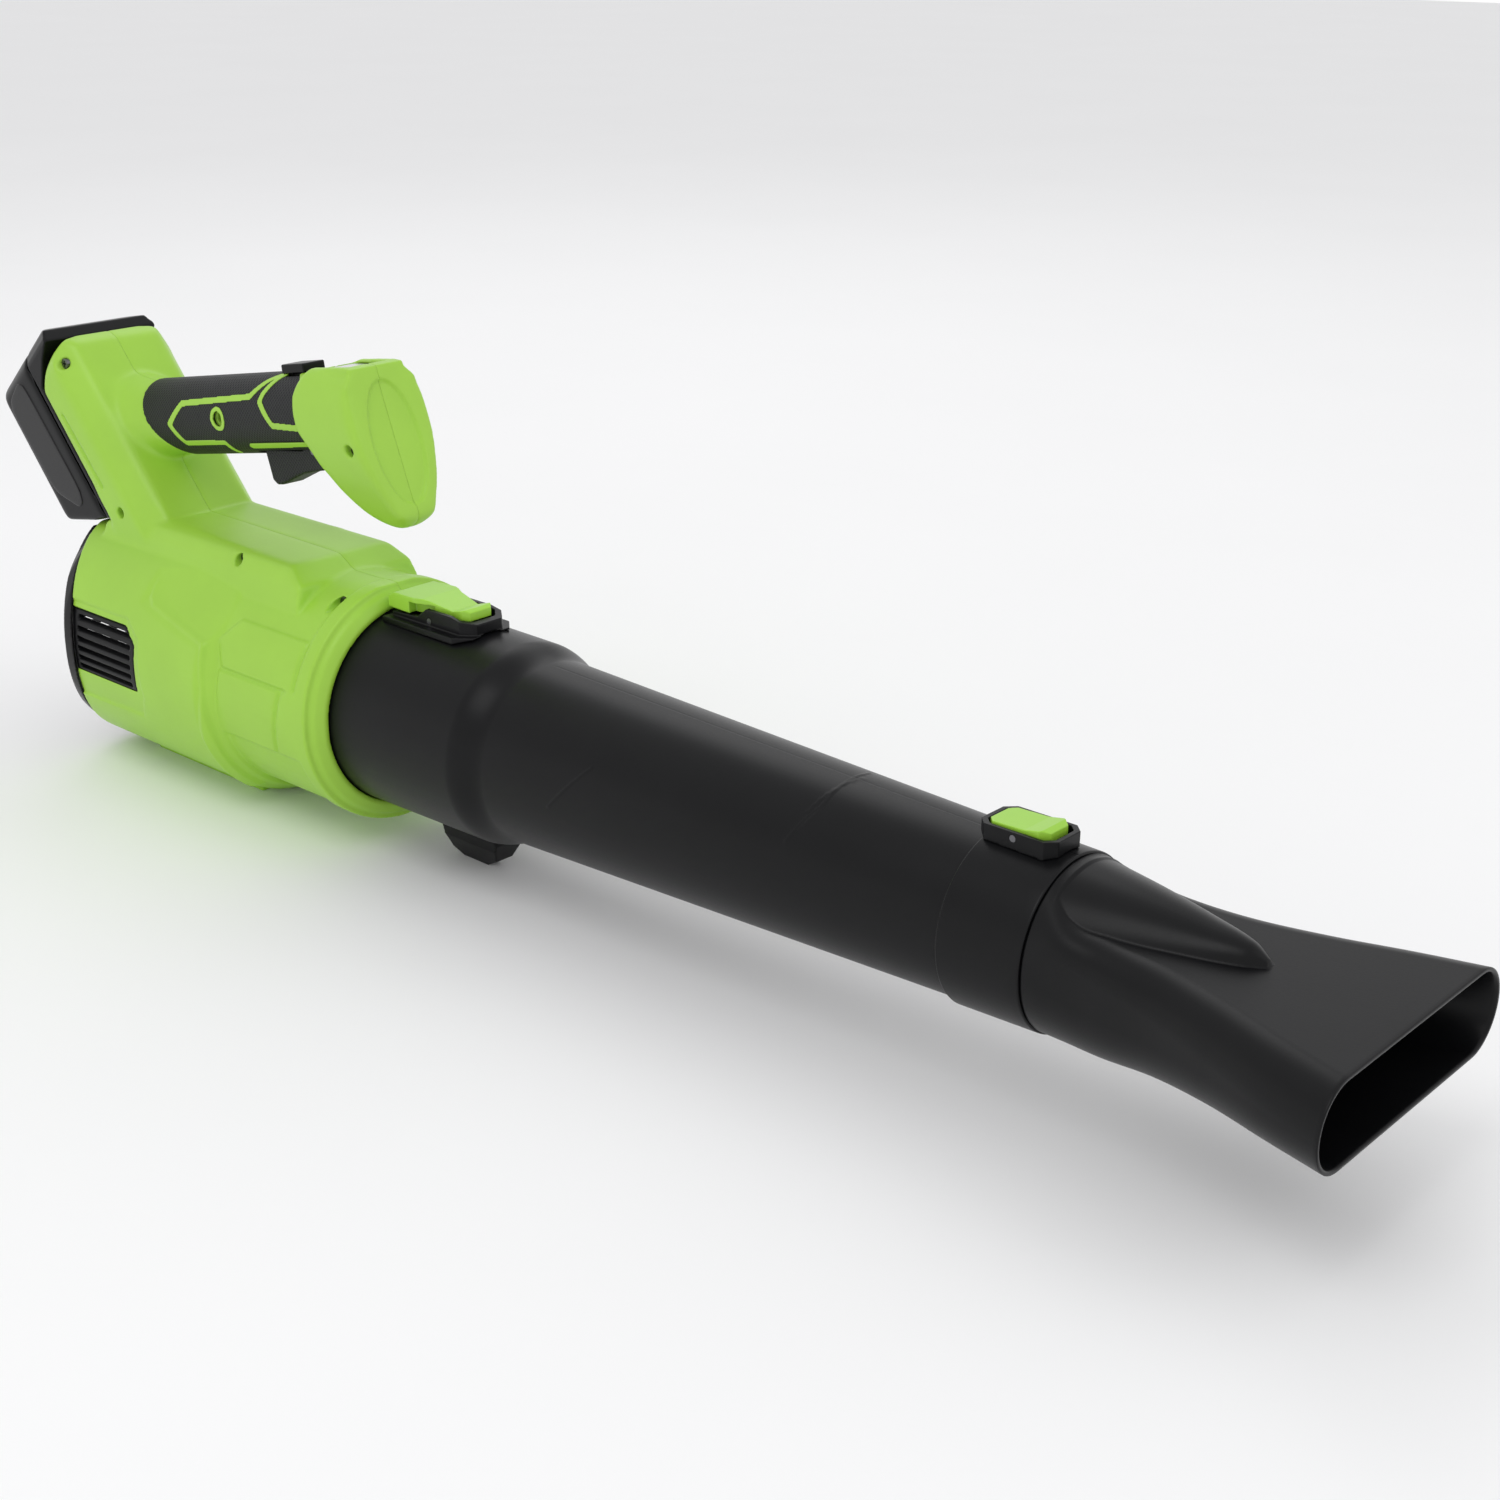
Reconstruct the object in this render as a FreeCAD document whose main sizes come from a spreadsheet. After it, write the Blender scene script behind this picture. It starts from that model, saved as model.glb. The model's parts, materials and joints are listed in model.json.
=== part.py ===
"""Cordless leaf blower: housing with fan and motor, grip, battery pack, tube and flat nozzle.

Row frame, millimetres: +X towards the nozzle, +Z up, mirror plane Y = 0.  The origin is the
centre of the flat pad under the housing, so the floor is Z = 0.
"""
import FreeCAD, Part
import math
import os

import Sketcher
from FreeCAD import Placement, Rotation, Vector

DRIVING_DIMENSIONS = [
    # the air axis and the housing around it
    ("axis_height", 74.0, "height of the fan and tube axis above the floor"),
    ("wall", 2.5, "wall of the moulded shells"),
    ("rear_radius", 70.0, "radius of the rear of the housing"),
    ("rear_height", 71.5, "height of the rear section's own axis"),
    ("rear_start", -80.0, "rear edge of the shells at the mirror plane"),
    ("rear_edge_radius", 100.0, "radius of the curved rear edge, seen from above"),
    ("neck_radius", 64.0, "radius of the front of the housing"),
    ("band_radius", 65.0, "radius of the raised panels and the front band"),
    ("mouth_start", 130.0, "back face of the thick mouth ring"),
    ("mouth_end", 157.0, "front edge of the housing"),
    ("mouth_radius", 53.5, "bore that takes the tube"),
    ("grille_edge_radius", 106.0, "radius of the rear face of the grille, seen from above"),
    ("pad_length", 100.0, "length of the flat pad under the housing"),
    ("pad_width", 46.0, "width of the flat pad under the housing"),
    # the leaning mast that carries the battery
    ("mast_x", -39.8, "mast datum, on its rear face"),
    ("mast_z", 124.9, "mast datum, on its rear face"),
    ("mast_lean", 41.4, "lean of the mast back from the vertical, degrees"),
    ("mast_half_width", 38.0, "half width of the mast's rear block"),
    ("mast_neck_half_width", 27.0, "half width of the mast's front face"),
    ("mast_depth", 35.5, "depth of the mast from rear face to front face"),
    ("mast_side_depth", 22.5, "depth of the flat side of the mast"),
    ("mast_height", 121.0, "length of the mast from its datum"),
    # the grip
    ("grip_centre_z", 201.4, "height of the grip axis at X = 0"),
    ("grip_slope", 10.1, "rise of the grip towards the front, degrees"),
    ("grip_height_radius", 21.2, "half height of the covered grip"),
    ("grip_width_radius", 18.5, "half width of the covered grip"),
    ("grip_cover", 2.4, "thickness of the soft cover"),
    ("grip_end", 105.0, "front end of the soft cover"),
    ("cover_line", 55.0, "rear end of the soft cover, in front of the mast's rear face"),
    ("cover_line_radius", 31.5, "radius of that curved line, seen along the mast"),
    # the battery pack
    ("pack_half_width", 37.0, "half width of the battery pack"),
    ("cell_radius", 9.0, "radius of one cell"),
    ("cell_length", 65.0, "length of one cell"),
    ("cell_pitch", 18.1, "spacing of the cells"),
    # the air path
    ("duct_radius", 52.5, "inside of the fan duct"),
    ("duct_wall", 2.5, "wall of the fan duct"),
    ("hub_radius", 24.0, "outside of the motor hub"),
    ("shaft_radius", 2.5, "radius of the motor shaft"),
    ("running_gap", 0.03, "radial clearance of a running fit"),
    ("impeller_tip_radius", 50.5, "tip radius of the fan blades"),
    ("blade_count", 11.0, "fan blades"),
    ("vane_count", 9.0, "stator vanes"),
    # the blow tube
    ("tube_start", 131.0, "rear end of the tube inside the housing"),
    ("tube_shoulder_start", 243.0, "where the wide part ends"),
    ("tube_shoulder_end", 264.0, "where the long taper starts"),
    ("collar_start", 529.0, "back of the front collar"),
    ("tube_end", 570.0, "front of the tube"),
    ("tube_rear_radius", 53.0, "tube radius in the housing"),
    ("tube_wide_radius", 52.0, "tube radius before the shoulder"),
    ("tube_taper_radius", 46.5, "tube radius after the shoulder"),
    ("tube_front_radius", 38.0, "tube radius behind the collar"),
    ("collar_rear_radius", 40.0, "collar radius, back"),
    ("collar_front_radius", 39.0, "collar radius, front"),
    ("tube_wall", 2.4, "wall of the tube"),
    # the nozzle
    ("spigot_radius", 36.2, "nozzle spigot inside the collar"),
    ("spigot_length", 25.0, "length of the nozzle spigot"),
    ("nozzle_wall", 2.0, "wall of the nozzle"),
    ("nozzle_length", 147.6, "length of the nozzle in front of the collar"),
    # latches, trigger and screws
    ("pin_radius", 1.5, "radius of the small hinge pins"),
    ("latch_pin_x", 191.0, "rear latch pin"),
    ("latch_pin_z", 129.2, "rear latch pin"),
    ("rocker_pin_x", 545.5, "front latch pin"),
    ("rocker_pin_z", 116.8, "front latch pin"),
    ("trigger_pin_x", 101.0, "trigger pin"),
    ("trigger_pin_z", 199.5, "trigger pin"),
    ("trigger_half_width", 7.5, "half width of the trigger"),
    ("boost_half_width", 7.0, "half width of the thumb button"),
    ("screw_radius", 1.5, "shank of the case screws"),
    ("screw_head_radius", 2.9, "head of the case screws"),
    ("spring_wire", 0.5, "wire of the small springs"),
    ("gap", 0.3, "clearance between neighbouring pieces"),
]

FAR = 400.0

doc = FreeCAD.newDocument("LeafBlower")
sheet = doc.addObject("Spreadsheet::Sheet", "Dimensions")
for row, (alias, number, note) in enumerate(DRIVING_DIMENSIONS, start=1):
    sheet.set(f"A{row}", alias)
    sheet.set(f"B{row}", str(number))
    sheet.set(f"C{row}", note)
    sheet.setAlias(f"B{row}", alias)
doc.recompute()

subparts = []


def size(alias):
    """The value of one driving dimension."""
    return float(sheet.get(alias))


AXIS = size("axis_height")
REAR_AXIS = size("rear_height")
WALL = size("wall")
GAP = size("gap")
TUBE_END = size("tube_end")
LEAN = Rotation(Vector(0, 1, 0), -size("mast_lean"))
MAST = Placement(Vector(size("mast_x"), 0, size("mast_z")), LEAN)
GRIP = Placement(Vector(0, 0, size("grip_centre_z")), Rotation(Vector(0, 1, 0), -size("grip_slope")))


# ---------------------------------------------------------------- shape helpers

def register(item, label):
    """Give a finished object the label that names its file."""
    item.Label = label
    subparts.append(item)
    return item


def add_feature(label, shape, placement=None):
    """A Part::Feature holding a shape worked out from the sheet."""
    item = doc.addObject("Part::Feature", label)
    item.Shape = shape
    if placement is not None:
        item.Placement = placement
    return register(item, label)


def block(x_range, y_range, z_range):
    """A box between two limits along each axis."""
    corner = Vector(x_range[0], y_range[0], z_range[0])
    return Part.makeBox(x_range[1] - x_range[0], y_range[1] - y_range[0], z_range[1] - z_range[0], corner)


def side_prism(outline, half_width, y_centre=0.0):
    """A closed (x, z) outline made solid across Y."""
    points = [Vector(x, y_centre - half_width, z) for x, z in outline]
    return Part.Face(Part.makePolygon(points + points[:1])).extrude(Vector(0, 2 * half_width, 0))


def front_prism(outline, x_start, x_end):
    """A closed (y, z) outline made solid along X."""
    points = [Vector(x_start, y, z) for y, z in outline]
    return Part.Face(Part.makePolygon(points + points[:1])).extrude(Vector(x_end - x_start, 0, 0))


def plan_prism(outline, z_start, z_end):
    """A closed (x, y) outline made solid along Z."""
    points = [Vector(x, y, z_start) for x, y in outline]
    return Part.Face(Part.makePolygon(points + points[:1])).extrude(Vector(0, 0, z_end - z_start))


def mirrored_outline(half):
    """Complete a half outline given on the +first side of a symmetric shape."""
    return half + [(-across, up) for across, up in reversed(half) if across > 0]


def inset_outline(outline, distance):
    """Move every side of a closed outline inwards by a distance."""
    if distance == 0:
        return outline
    points = [Vector(a, b, 0) for a, b in outline]
    smaller = Part.makePolygon(points + points[:1]).makeOffset2D(-distance, 2)
    return [(vertex.X, vertex.Y) for vertex in smaller.OrderedVertexes]


def softened(points, steps=4):
    """The same open line of points with a smooth curve run through them."""
    result = []
    padded = points[:1] + points + points[-1:]
    for before, start, end, after in zip(padded, padded[1:], padded[2:], padded[3:]):
        for step in range(steps):
            t = step / steps
            terms = []
            for a, b, c, d in zip(before, start, end, after):
                cubic = 3 * (b - c) + d - a
                square = 2 * a - 5 * b + 4 * c - d
                terms.append(b + 0.5 * t * (c - a + t * (square + t * cubic)))
            result.append(tuple(terms))
    return result + points[-1:]


def x_cylinder(radius, x_start, x_end, z=AXIS, y=0.0):
    """A cylinder along X."""
    return Part.makeCylinder(radius, x_end - x_start, Vector(x_start, y, z), Vector(1, 0, 0))


def y_cylinder(radius, x, z, y_start, y_end):
    """A cylinder along Y."""
    return Part.makeCylinder(radius, y_end - y_start, Vector(x, y_start, z), Vector(0, 1, 0))


def v_cylinder(radius, start, end, y, z):
    """A cylinder along X at a given y and z, for features square to the mast."""
    return Part.makeCylinder(radius, end - start, Vector(start, y, z), Vector(1, 0, 0))


def turned(profile, z=AXIS):
    """Revolve a closed (x, radius) profile about the line at height z along X."""
    points = [Vector(x, 0, z + radius) for x, radius in profile]
    face = Part.Face(Part.makePolygon(points + points[:1]))
    return face.revolve(Vector(0, 0, z), Vector(1, 0, 0), 360)


def fused(shapes):
    """One solid from several overlapping ones."""
    result = shapes[0].multiFuse(shapes[1:]) if len(shapes) > 1 else shapes[0]
    return result.removeSplitter()


def placed(shape, placement):
    """A copy of a shape moved into the row frame."""
    copy = shape.copy()
    copy.Placement = placement.multiply(copy.Placement)
    return copy


def coil_spring(radius, height, turns):
    """A helical spring standing on the XY plane."""
    wire_radius = size("spring_wire") / 2
    rise = height - 2 * wire_radius
    helix = Part.makeHelix(rise / turns, rise, radius)
    section = Part.Wire(Part.makeCircle(wire_radius, Vector(radius, 0, 0), Vector(0, 1, 0)))
    spring = Part.Wire(helix).makePipeShell([section], True, True)
    spring.translate(Vector(0, 0, wire_radius))
    return spring


# ---------------------------------------------------------------- parametric helpers

def number(expression):
    """Evaluate a sheet expression such as 'tube_end - tube_start'."""
    return float(sheet.evalExpression(expression))


def bound(expression):
    """The same expression as other objects write it."""
    words = {alias for alias, _, _ in DRIVING_DIMENSIONS}
    pieces = expression.split(" ")
    return " ".join(f"Dimensions.{piece}" if piece in words else piece for piece in pieces)


def plane(body, role):
    """One of a body's origin planes."""
    return next(item for item in body.Origin.OriginFeatures if item.Role == role)


def outline_sketch(body, name, role, corners):
    """A closed sketch whose corners are bound to sheet expressions."""
    sketch = body.newObject("Sketcher::SketchObject", name)
    sketch.AttachmentSupport = [(plane(body, role), "")]
    sketch.MapMode = "FlatFace"
    points = [Vector(number(a), number(b), 0) for a, b in corners]
    for index, point in enumerate(points):
        following = points[(index + 1) % len(points)]
        sketch.addGeometry(Part.LineSegment(point, following), False)
    for index in range(len(points)):
        following = (index + 1) % len(points)
        sketch.addConstraint(Sketcher.Constraint("Coincident", index, 2, following, 1))
    for index, (across, up) in enumerate(corners):
        for kind, expression in (("DistanceX", across), ("DistanceY", up)):
            datum = sketch.addConstraint(Sketcher.Constraint(kind, -1, 1, index, 1, number(expression)))
            sketch.setExpression(f"Constraints[{datum}]", bound(expression))
    return sketch


def new_body(label, x="0", y="0", z="0"):
    """A PartDesign body whose place is bound to the sheet."""
    body = doc.addObject("PartDesign::Body", label)
    body.setExpression("Placement.Base.x", bound(x))
    body.setExpression("Placement.Base.y", bound(y))
    body.setExpression("Placement.Base.z", bound(z))
    return body


def turned_body(label, corners, z="axis_height"):
    """A body of revolution about X from (x, radius) corners."""
    body = new_body(label, z=z)
    sketch = outline_sketch(body, f"{label}_profile", "XZ_Plane", corners)
    turn = body.newObject("PartDesign::Revolution", f"{label}_turn")
    turn.Profile = sketch
    turn.ReferenceAxis = (sketch, ["H_Axis"])
    turn.Angle = 360
    doc.recompute()
    return register(body, label)


def pin_along_y(label, radius, x, z, half_length):
    """A plain pin across the mirror plane, bound to the sheet."""
    pin = doc.addObject("Part::Cylinder", label)
    pin.setExpression("Radius", bound(radius))
    pin.setExpression("Height", bound(f"2 * {half_length}"))
    pin.Placement = Placement(Vector(0, 0, 0), Rotation(Vector(1, 0, 0), -90))
    pin.setExpression("Placement.Base.x", bound(x))
    pin.setExpression("Placement.Base.y", bound(f"0 - {half_length}"))
    pin.setExpression("Placement.Base.z", bound(z))
    return register(pin, label)


# ---------------------------------------------------------------- housing shells

MAST_SIDE = [(-6, -16), (0, -12), (0, 104.6), (12, 113), (26, 118), (30, 121), (35.5, 112), (35.5, -22)]
MAST_CROWN = [(38.5, -40), (38.5, 104), (37.5, 110), (35, 114.5), (30, 118), (22, 120.4),
              (10, 121.4), (0, 121.6)]
HEAD_SIDE = softened([(112, 245.5), (107, 236), (105, 228), (107, 215), (114, 206), (122, 195), (130, 184),
                      (143, 173), (155, 168.8), (165, 170), (171.8, 176.5)])
HEAD_SIDE += [(158.6, 210), (143.5, 249), (138, 249)]
HEAD_FRONT = softened([(0, 168), (5.5, 169.3), (11, 175), (15.8, 184), (20.2, 194), (23.6, 206), (25.4, 218),
                       (25.2, 230), (22.8, 240), (17.5, 246)])
HEAD_FRONT += [(17.5, 252), (0, 252)]
DECK_SIDE = [(-60, 118), (-60, 145.5), (13, 145.3), (104, 144.4), (118, 136), (120, 118)]
DECK_FRONT = [(0, 145.6), (26, 145.6), (33, 143), (37, 136), (44, 112), (0, 112)]
WINDOW = [(-66, 94.5), (-4, 94.5), (5.5, 86), (5.5, 60), (-66, 60)]
WINDOW_RECESS = [(-66, 99.5), (-3, 99.5), (9.5, 91), (13, 58.5), (5.5, 45), (-66, 43)]
UPPER_PANEL = [(84, 115), (139, 115), (139, 91.5), (80, 91.5), (73, 104)]
LOWER_PANEL = [(78, 89), (128, 89), (121, 54), (75, 54)]
FRONT_BAND = [(141, 138), (141, 91.5), (130.5, 89), (123.5, 54), (141, 54), (141, 8), (151, 8), (151, 138)]
SCREWS = [(-89, 221.7, 38.0, 4.2), (-41, 146, 38.0, 4.2), (63, 139.5, 35.5, 4.0), (136.6, 129.6, 28.5, 2.2),
          (30, 206.8, 18.5, 3.6), (149, 210.5, 25.2, 4.2), (-30, 12, 37.0, 4.2), (100, 14.5, 23.8, 2.8)]
SCREW_DEPTH = 7.0
HOLE_RADIUS = 3.1
HUMP_RADIUS = 68.6


def rear_cylinder_parts(inward):
    """The wide rear drum with its stepped, chamfered front, shrunk by a distance."""
    rear = size("rear_radius") - inward
    neck = size("neck_radius") - inward
    low = size("rear_height")
    start = size("rear_start") - 1
    upper = turned([(start, 0), (start, rear), (4 - inward / 2, rear), (34, neck), (34, 0)], low)
    lower = turned([(start, 0), (start, rear), (63 - inward / 2, rear), (76, neck), (76, 0)], low)
    lift = 115.5 - inward
    roof = [(0, lift / 0.658), (95, (lift - 0.751 * 95) / 0.658), (95, -20), (-95, -20),
            (-95, (lift - 0.751 * 95) / 0.658)]
    wedge = front_prism(roof, start, 90)
    wedge.rotate(Vector(13, 0, 105), Vector(0, 1, 0), 4.5)
    return [upper, lower.common(wedge)]


def neck_part(inward):
    """The front of the housing and its rounded mouth ring, shrunk by a distance."""
    neck = size("neck_radius") - inward
    if inward:
        return turned([(-10, 0), (-10, neck), (size("mouth_start"), neck), (size("mouth_start"), 0)])
    end = size("mouth_end")
    return turned([(-10, 0), (-10, neck), (149, neck - 0.6), (154, neck - 3.5), (end, neck - 8), (end, 0)])


def mast_part(inward):
    """The leaning mast: a block with chamfered front edges, shrunk by a distance."""
    side = side_prism(inset_outline(MAST_SIDE, inward), size("mast_half_width"))
    wide = size("mast_half_width")
    narrow = size("mast_neck_half_width")
    section = [(-31, -wide), (size("mast_side_depth"), -wide), (size("mast_depth"), -narrow),
               (size("mast_depth"), narrow), (size("mast_side_depth"), wide), (-31, wide)]
    column = plan_prism(inset_outline(section, inward), -30, size("mast_height") + 5)
    crown = front_prism(inset_outline(mirrored_outline(MAST_CROWN), inward), -40, 60)
    return placed(side.common(column).common(crown), MAST)


def grip_prism(height_radius, width_radius, start, end):
    """An elliptical bar along the grip's own axis."""
    curve = Part.Ellipse(Vector(start, 0, height_radius), Vector(start, width_radius, 0), Vector(start, 0, 0))
    face = Part.Face(Part.Wire(curve.toShape()))
    return face.extrude(Vector(end - start, 0, 0))


def grip_core(inward):
    """The bar inside the soft cover, from the mast to the head."""
    cover = size("grip_cover") + inward
    bar = grip_prism(size("grip_height_radius") - cover, size("grip_width_radius") - cover, -85, 128)
    return placed(bar, GRIP)


def grip_root_limit(margin):
    """Everything behind the curved line where the soft cover of the grip starts, grown by a margin."""
    radius = size("cover_line_radius") + margin
    centre = size("cover_line") - size("cover_line_radius")
    drum = Part.makeCylinder(radius, 200, Vector(centre, 0, -20))
    return placed(drum.fuse(block((-60, centre), (-60, 60), (-20, 180))), MAST)


def grip_root(inward):
    """The flared collar where the grip meets the mast."""
    rings = []
    for distance, spread in ((-86, 13), (-66, 10), (-50, 4), (-40, 0.8), (-20, 0.1)):
        curve = Part.Ellipse(Vector(distance, 0, size("grip_height_radius") + spread - inward),
                             Vector(distance, size("grip_width_radius") + spread - inward, 0),
                             Vector(distance, 0, 0))
        ring = Part.Wire(curve.toShape())
        ring.rotate(Vector(distance, 0, 0), Vector(0, 1, 0), size("grip_slope") - size("mast_lean") + 8)
        rings.append(ring)
    return placed(Part.makeLoft(rings, True, True), GRIP).common(grip_root_limit(0))


def head_part(inward):
    """The tall oval head at the front of the grip, shrunk by a distance."""
    side = side_prism(inset_outline(HEAD_SIDE, inward), 40)
    front = front_prism(inset_outline(mirrored_outline(HEAD_FRONT[1:-1]), inward), 90, 190)
    return side.common(front)


def deck_part(inward):
    """The raised spine on top of the housing, shrunk by a distance."""
    side = side_prism(inset_outline(DECK_SIDE, inward), 60)
    front = front_prism(inset_outline(mirrored_outline(DECK_FRONT[1:-1]), inward), -70, 130)
    return side.common(front)


def raised_panels():
    """Shallow panels and the band that stand proud of the neck."""
    drum = x_cylinder(size("band_radius"), 60, 160)
    return [drum.common(side_prism(outline, 90)) for outline in (UPPER_PANEL, LOWER_PANEL, FRONT_BAND)]


def screw_bosses():
    """Round posts inside the shells that the case screws run through."""
    posts = []
    for x, z, reach, radius in SCREWS:
        posts.append(y_cylinder(radius, x, z, -reach + 1, reach - 1))
    return posts


def screw_holes():
    """Countersunk holes from the right-hand side."""
    holes = []
    for x, z, reach, _ in SCREWS:
        floor = -reach + SCREW_DEPTH
        shank_end = min(reach - 12, 8)
        holes.append(y_cylinder(HOLE_RADIUS, x, z, -reach - 12, floor))
        holes.append(y_cylinder(size("screw_radius"), x, z, floor - 1, shank_end))
    return holes


def receiver_space(margin):
    """The recess in the mast's rear face for the battery receiver, grown by a margin."""
    return placed(block((-2, 13 + margin), (-25 - margin, 25 + margin), (22 - margin, 125)), MAST)


def pack_room(margin):
    """The hollow in the top of the housing that the foot of the battery pack sits in, grown by a margin."""
    outline = [(0, 21.4), (-2.4, 21.4), (-16.6, 28), (-40.4, 42.3), (-44, 48), (-60, 48),
               (-60, 110), (0, 110)]
    return placed(side_prism(inset_outline(outline, -margin), size("pack_half_width") + GAP + margin), MAST)


def head_openings():
    """Cuts for the display, the trigger and the thumb button."""
    display = block((112, 137), (-11.5, 11.5), (238, 260))
    display.rotate(Vector(124, 0, 246), Vector(0, 1, 0), -6.5)
    slot = size("trigger_half_width") + 1
    trigger = side_prism([(51, 170), (51, 201.5), (108, 206), (118, 206), (118, 186), (100, 176)], slot)
    boost = size("boost_half_width") + GAP
    button = placed(block((76, 101), (-boost, boost), (10, 50)), GRIP)
    return [display, trigger, button]


def rear_edge_cutter(radius=size("rear_edge_radius")):
    """Everything behind the curved rear edge of the shells, or behind another curve about the same centre."""
    centre = size("rear_start") + size("rear_edge_radius")
    drum = Part.makeCylinder(radius, 180, Vector(centre, 0, -20))
    return block((-260, centre), (-90, 90), (-20, 160)).cut(drum)


def housing_shells():
    """The two moulded halves that make the body, mast, grip core and head."""
    outside = rear_cylinder_parts(0) + [neck_part(0), deck_part(0), mast_part(0)]
    outside += [grip_core(0), grip_root(0), head_part(0)] + raised_panels()
    outside.append(block((-size("pad_length") / 2, size("pad_length") / 2),
                         (-size("pad_width") / 2, size("pad_width") / 2), (0, 20)))
    solid = outside[0].multiFuse(outside[1:])
    inside = rear_cylinder_parts(WALL) + [neck_part(WALL), deck_part(WALL), mast_part(WALL)]
    inside += [grip_core(WALL), head_part(WALL)]
    cavity = inside[0].multiFuse(inside[1:])
    cavity = cavity.cut(Part.makeCompound(screw_bosses()))
    cavity = cavity.cut(receiver_space(WALL)).cut(pack_room(WALL))
    shell = solid.cut(cavity).cut(pack_room(0))
    bore = x_cylinder(size("mouth_radius"), size("mouth_start") - 1, size("mouth_end") + 1)
    recess = side_prism(WINDOW_RECESS, 90).cut(x_cylinder(HUMP_RADIUS, -120, 100, size("rear_height")))
    battery_foot = receiver_space(0)
    rear = rear_edge_cutter()
    below = block((-90, 170), (-80, 80), (-30, 0))
    cutters = [bore, side_prism(WINDOW, 90), recess, battery_foot, below] + head_openings() + screw_holes()
    for cutter in cutters:
        shell = shell.cut(cutter)
    back = rear.common(x_cylinder(size("rear_radius") + 6, -200, 60, size("rear_height")))
    shell = shell.cut(back)
    shell = shell.removeSplitter()
    right = shell.common(block((-FAR, FAR), (-FAR, 0), (-FAR, FAR)))
    left = shell.common(block((-FAR, FAR), (0, FAR), (-FAR, FAR)))
    add_feature("right_housing_shell", largest(right))
    add_feature("left_housing_shell", largest(left))


def largest(shape):
    """The biggest solid of a shape, without crumbs."""
    return max(shape.Solids, key=lambda solid: solid.Volume)


housing_shells()


# ---------------------------------------------------------------- covers on the housing

def intake_grille():
    """The slotted grille that closes the rear of the housing, curved like its rear edge."""
    low = size("rear_height")
    start = size("rear_start")
    radius = size("rear_radius")
    face = size("grille_edge_radius")
    rim = [(start + 35, radius), (start + 20, radius), (start + 12, radius - 1), (start + 3, radius - 4.5),
           (start - 3, radius - 11), (start - 6, radius - 20)]
    outer = turned([(start + 35, 0)] + rim + [(start - 6, 0)], low)
    outer = outer.cut(rear_edge_cutter(face)).common(rear_edge_cutter()).cut(pack_room(0))
    inner_rim = [(x + 1, reach - WALL) for x, reach in rim]
    inner = turned([(start + 36, 0)] + inner_rim + [(start - 5, 0)], low)
    inner = inner.cut(rear_edge_cutter(face - WALL)).cut(pack_room(WALL))
    grille = outer.cut(inner)
    spigot = x_cylinder(67.2, start, start + 20, low).cut(x_cylinder(65, start - 1, start + 25, low))
    grille = grille.fuse(spigot.cut(rear_edge_cutter(face - 1)).cut(pack_room(WALL + GAP)))
    slots = []
    for step in range(-7, 7):
        height = step * 7.6
        reach = math.sqrt(60 ** 2 - height ** 2) - 3
        for side in (-1, 1):
            ends = sorted((side * 2.5, side * reach))
            slots.append(block((-180, start + 32), ends, (low + height - 2.1, low + height + 2.1)))
    grille = grille.cut(Part.makeCompound(slots))
    add_feature("intake_grille", largest(grille.removeSplitter()))


def side_louvres():
    """The slatted black inserts in the two side windows."""
    low = size("rear_height")
    plug = side_prism(inset_outline(WINDOW, GAP), 90)
    plug = plug.common(x_cylinder(HUMP_RADIUS - 0.4, -80, 40, low))
    flange = side_prism(inset_outline(WINDOW, -2.5), 90).common(x_cylinder(67.3, -80, 40, low))
    insert = plug.fuse(flange).cut(x_cylinder(64.8, -80, 40, low))
    insert = insert.cut(rear_edge_cutter(size("rear_edge_radius") - GAP))
    slots = []
    for step in range(6):
        base = 62.0 + step * 5.3
        slot = side_prism([(-50, base), (1.5, base), (1.5, base + 2.6), (-50, base + 2.6)], 12, -66)
        slot.rotate(Vector(0, -66, base), Vector(1, 0, 0), 25)
        slots.append(slot)
        slots.append(slot.mirror(Vector(0, 0, 0), Vector(0, 1, 0)))
    insert = insert.cut(Part.makeCompound(slots))
    for name, side in (("right_louvre", -1), ("left_louvre", 1)):
        ends = sorted((side * 30, side * 90))
        add_feature(name, largest(insert.common(block((-90, 40), ends, (30, 120)))))


def grip_covers():
    """The soft grip cover in two halves, open where the trigger and button pass."""
    outer = grip_prism(size("grip_height_radius"), size("grip_width_radius"), -90, 112)
    cover = size("grip_cover") - 0.02
    inner = grip_prism(size("grip_height_radius") - cover, size("grip_width_radius") - cover, -95, 118)
    sleeve = placed(outer.cut(inner), GRIP)
    sleeve = sleeve.cut(grip_root_limit(size("running_gap")))
    sleeve = sleeve.common(block((-90, size("grip_end")), (-60, 60), (150, 260)))
    sleeve = sleeve.cut(head_part(-GAP / 2))
    for opening in head_openings()[1:]:
        sleeve = sleeve.cut(opening)
    ring = y_cylinder(HOLE_RADIUS + 1, SCREWS[4][0], SCREWS[4][1], -40, 0)
    pin_hole = y_cylinder(size("pin_radius") + size("running_gap"), size("trigger_pin_x"), size("trigger_pin_z"),
                          -20, 20)
    sleeve = sleeve.cut(ring).cut(pin_hole)
    add_feature("right_grip_cover", largest(sleeve.common(block((-FAR, FAR), (-FAR, 0), (0, FAR)))))
    add_feature("left_grip_cover", largest(sleeve.common(block((-FAR, FAR), (0, FAR), (0, FAR)))))


def display():
    """The charge display: a clear lens over a small board."""
    for name, half_length, half_width, low, high in (("display_lens", 11.8, 11.2, 243.4, 245.2),
                                                    ("display_board", 12.0, 11.0, 240.2, 241.8)):
        sheet_piece = block((124 - half_length, 124 + half_length), (-half_width, half_width), (low, high))
        sheet_piece.rotate(Vector(124, 0, 246), Vector(0, 1, 0), -6.5)
        add_feature(name, sheet_piece)


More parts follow.
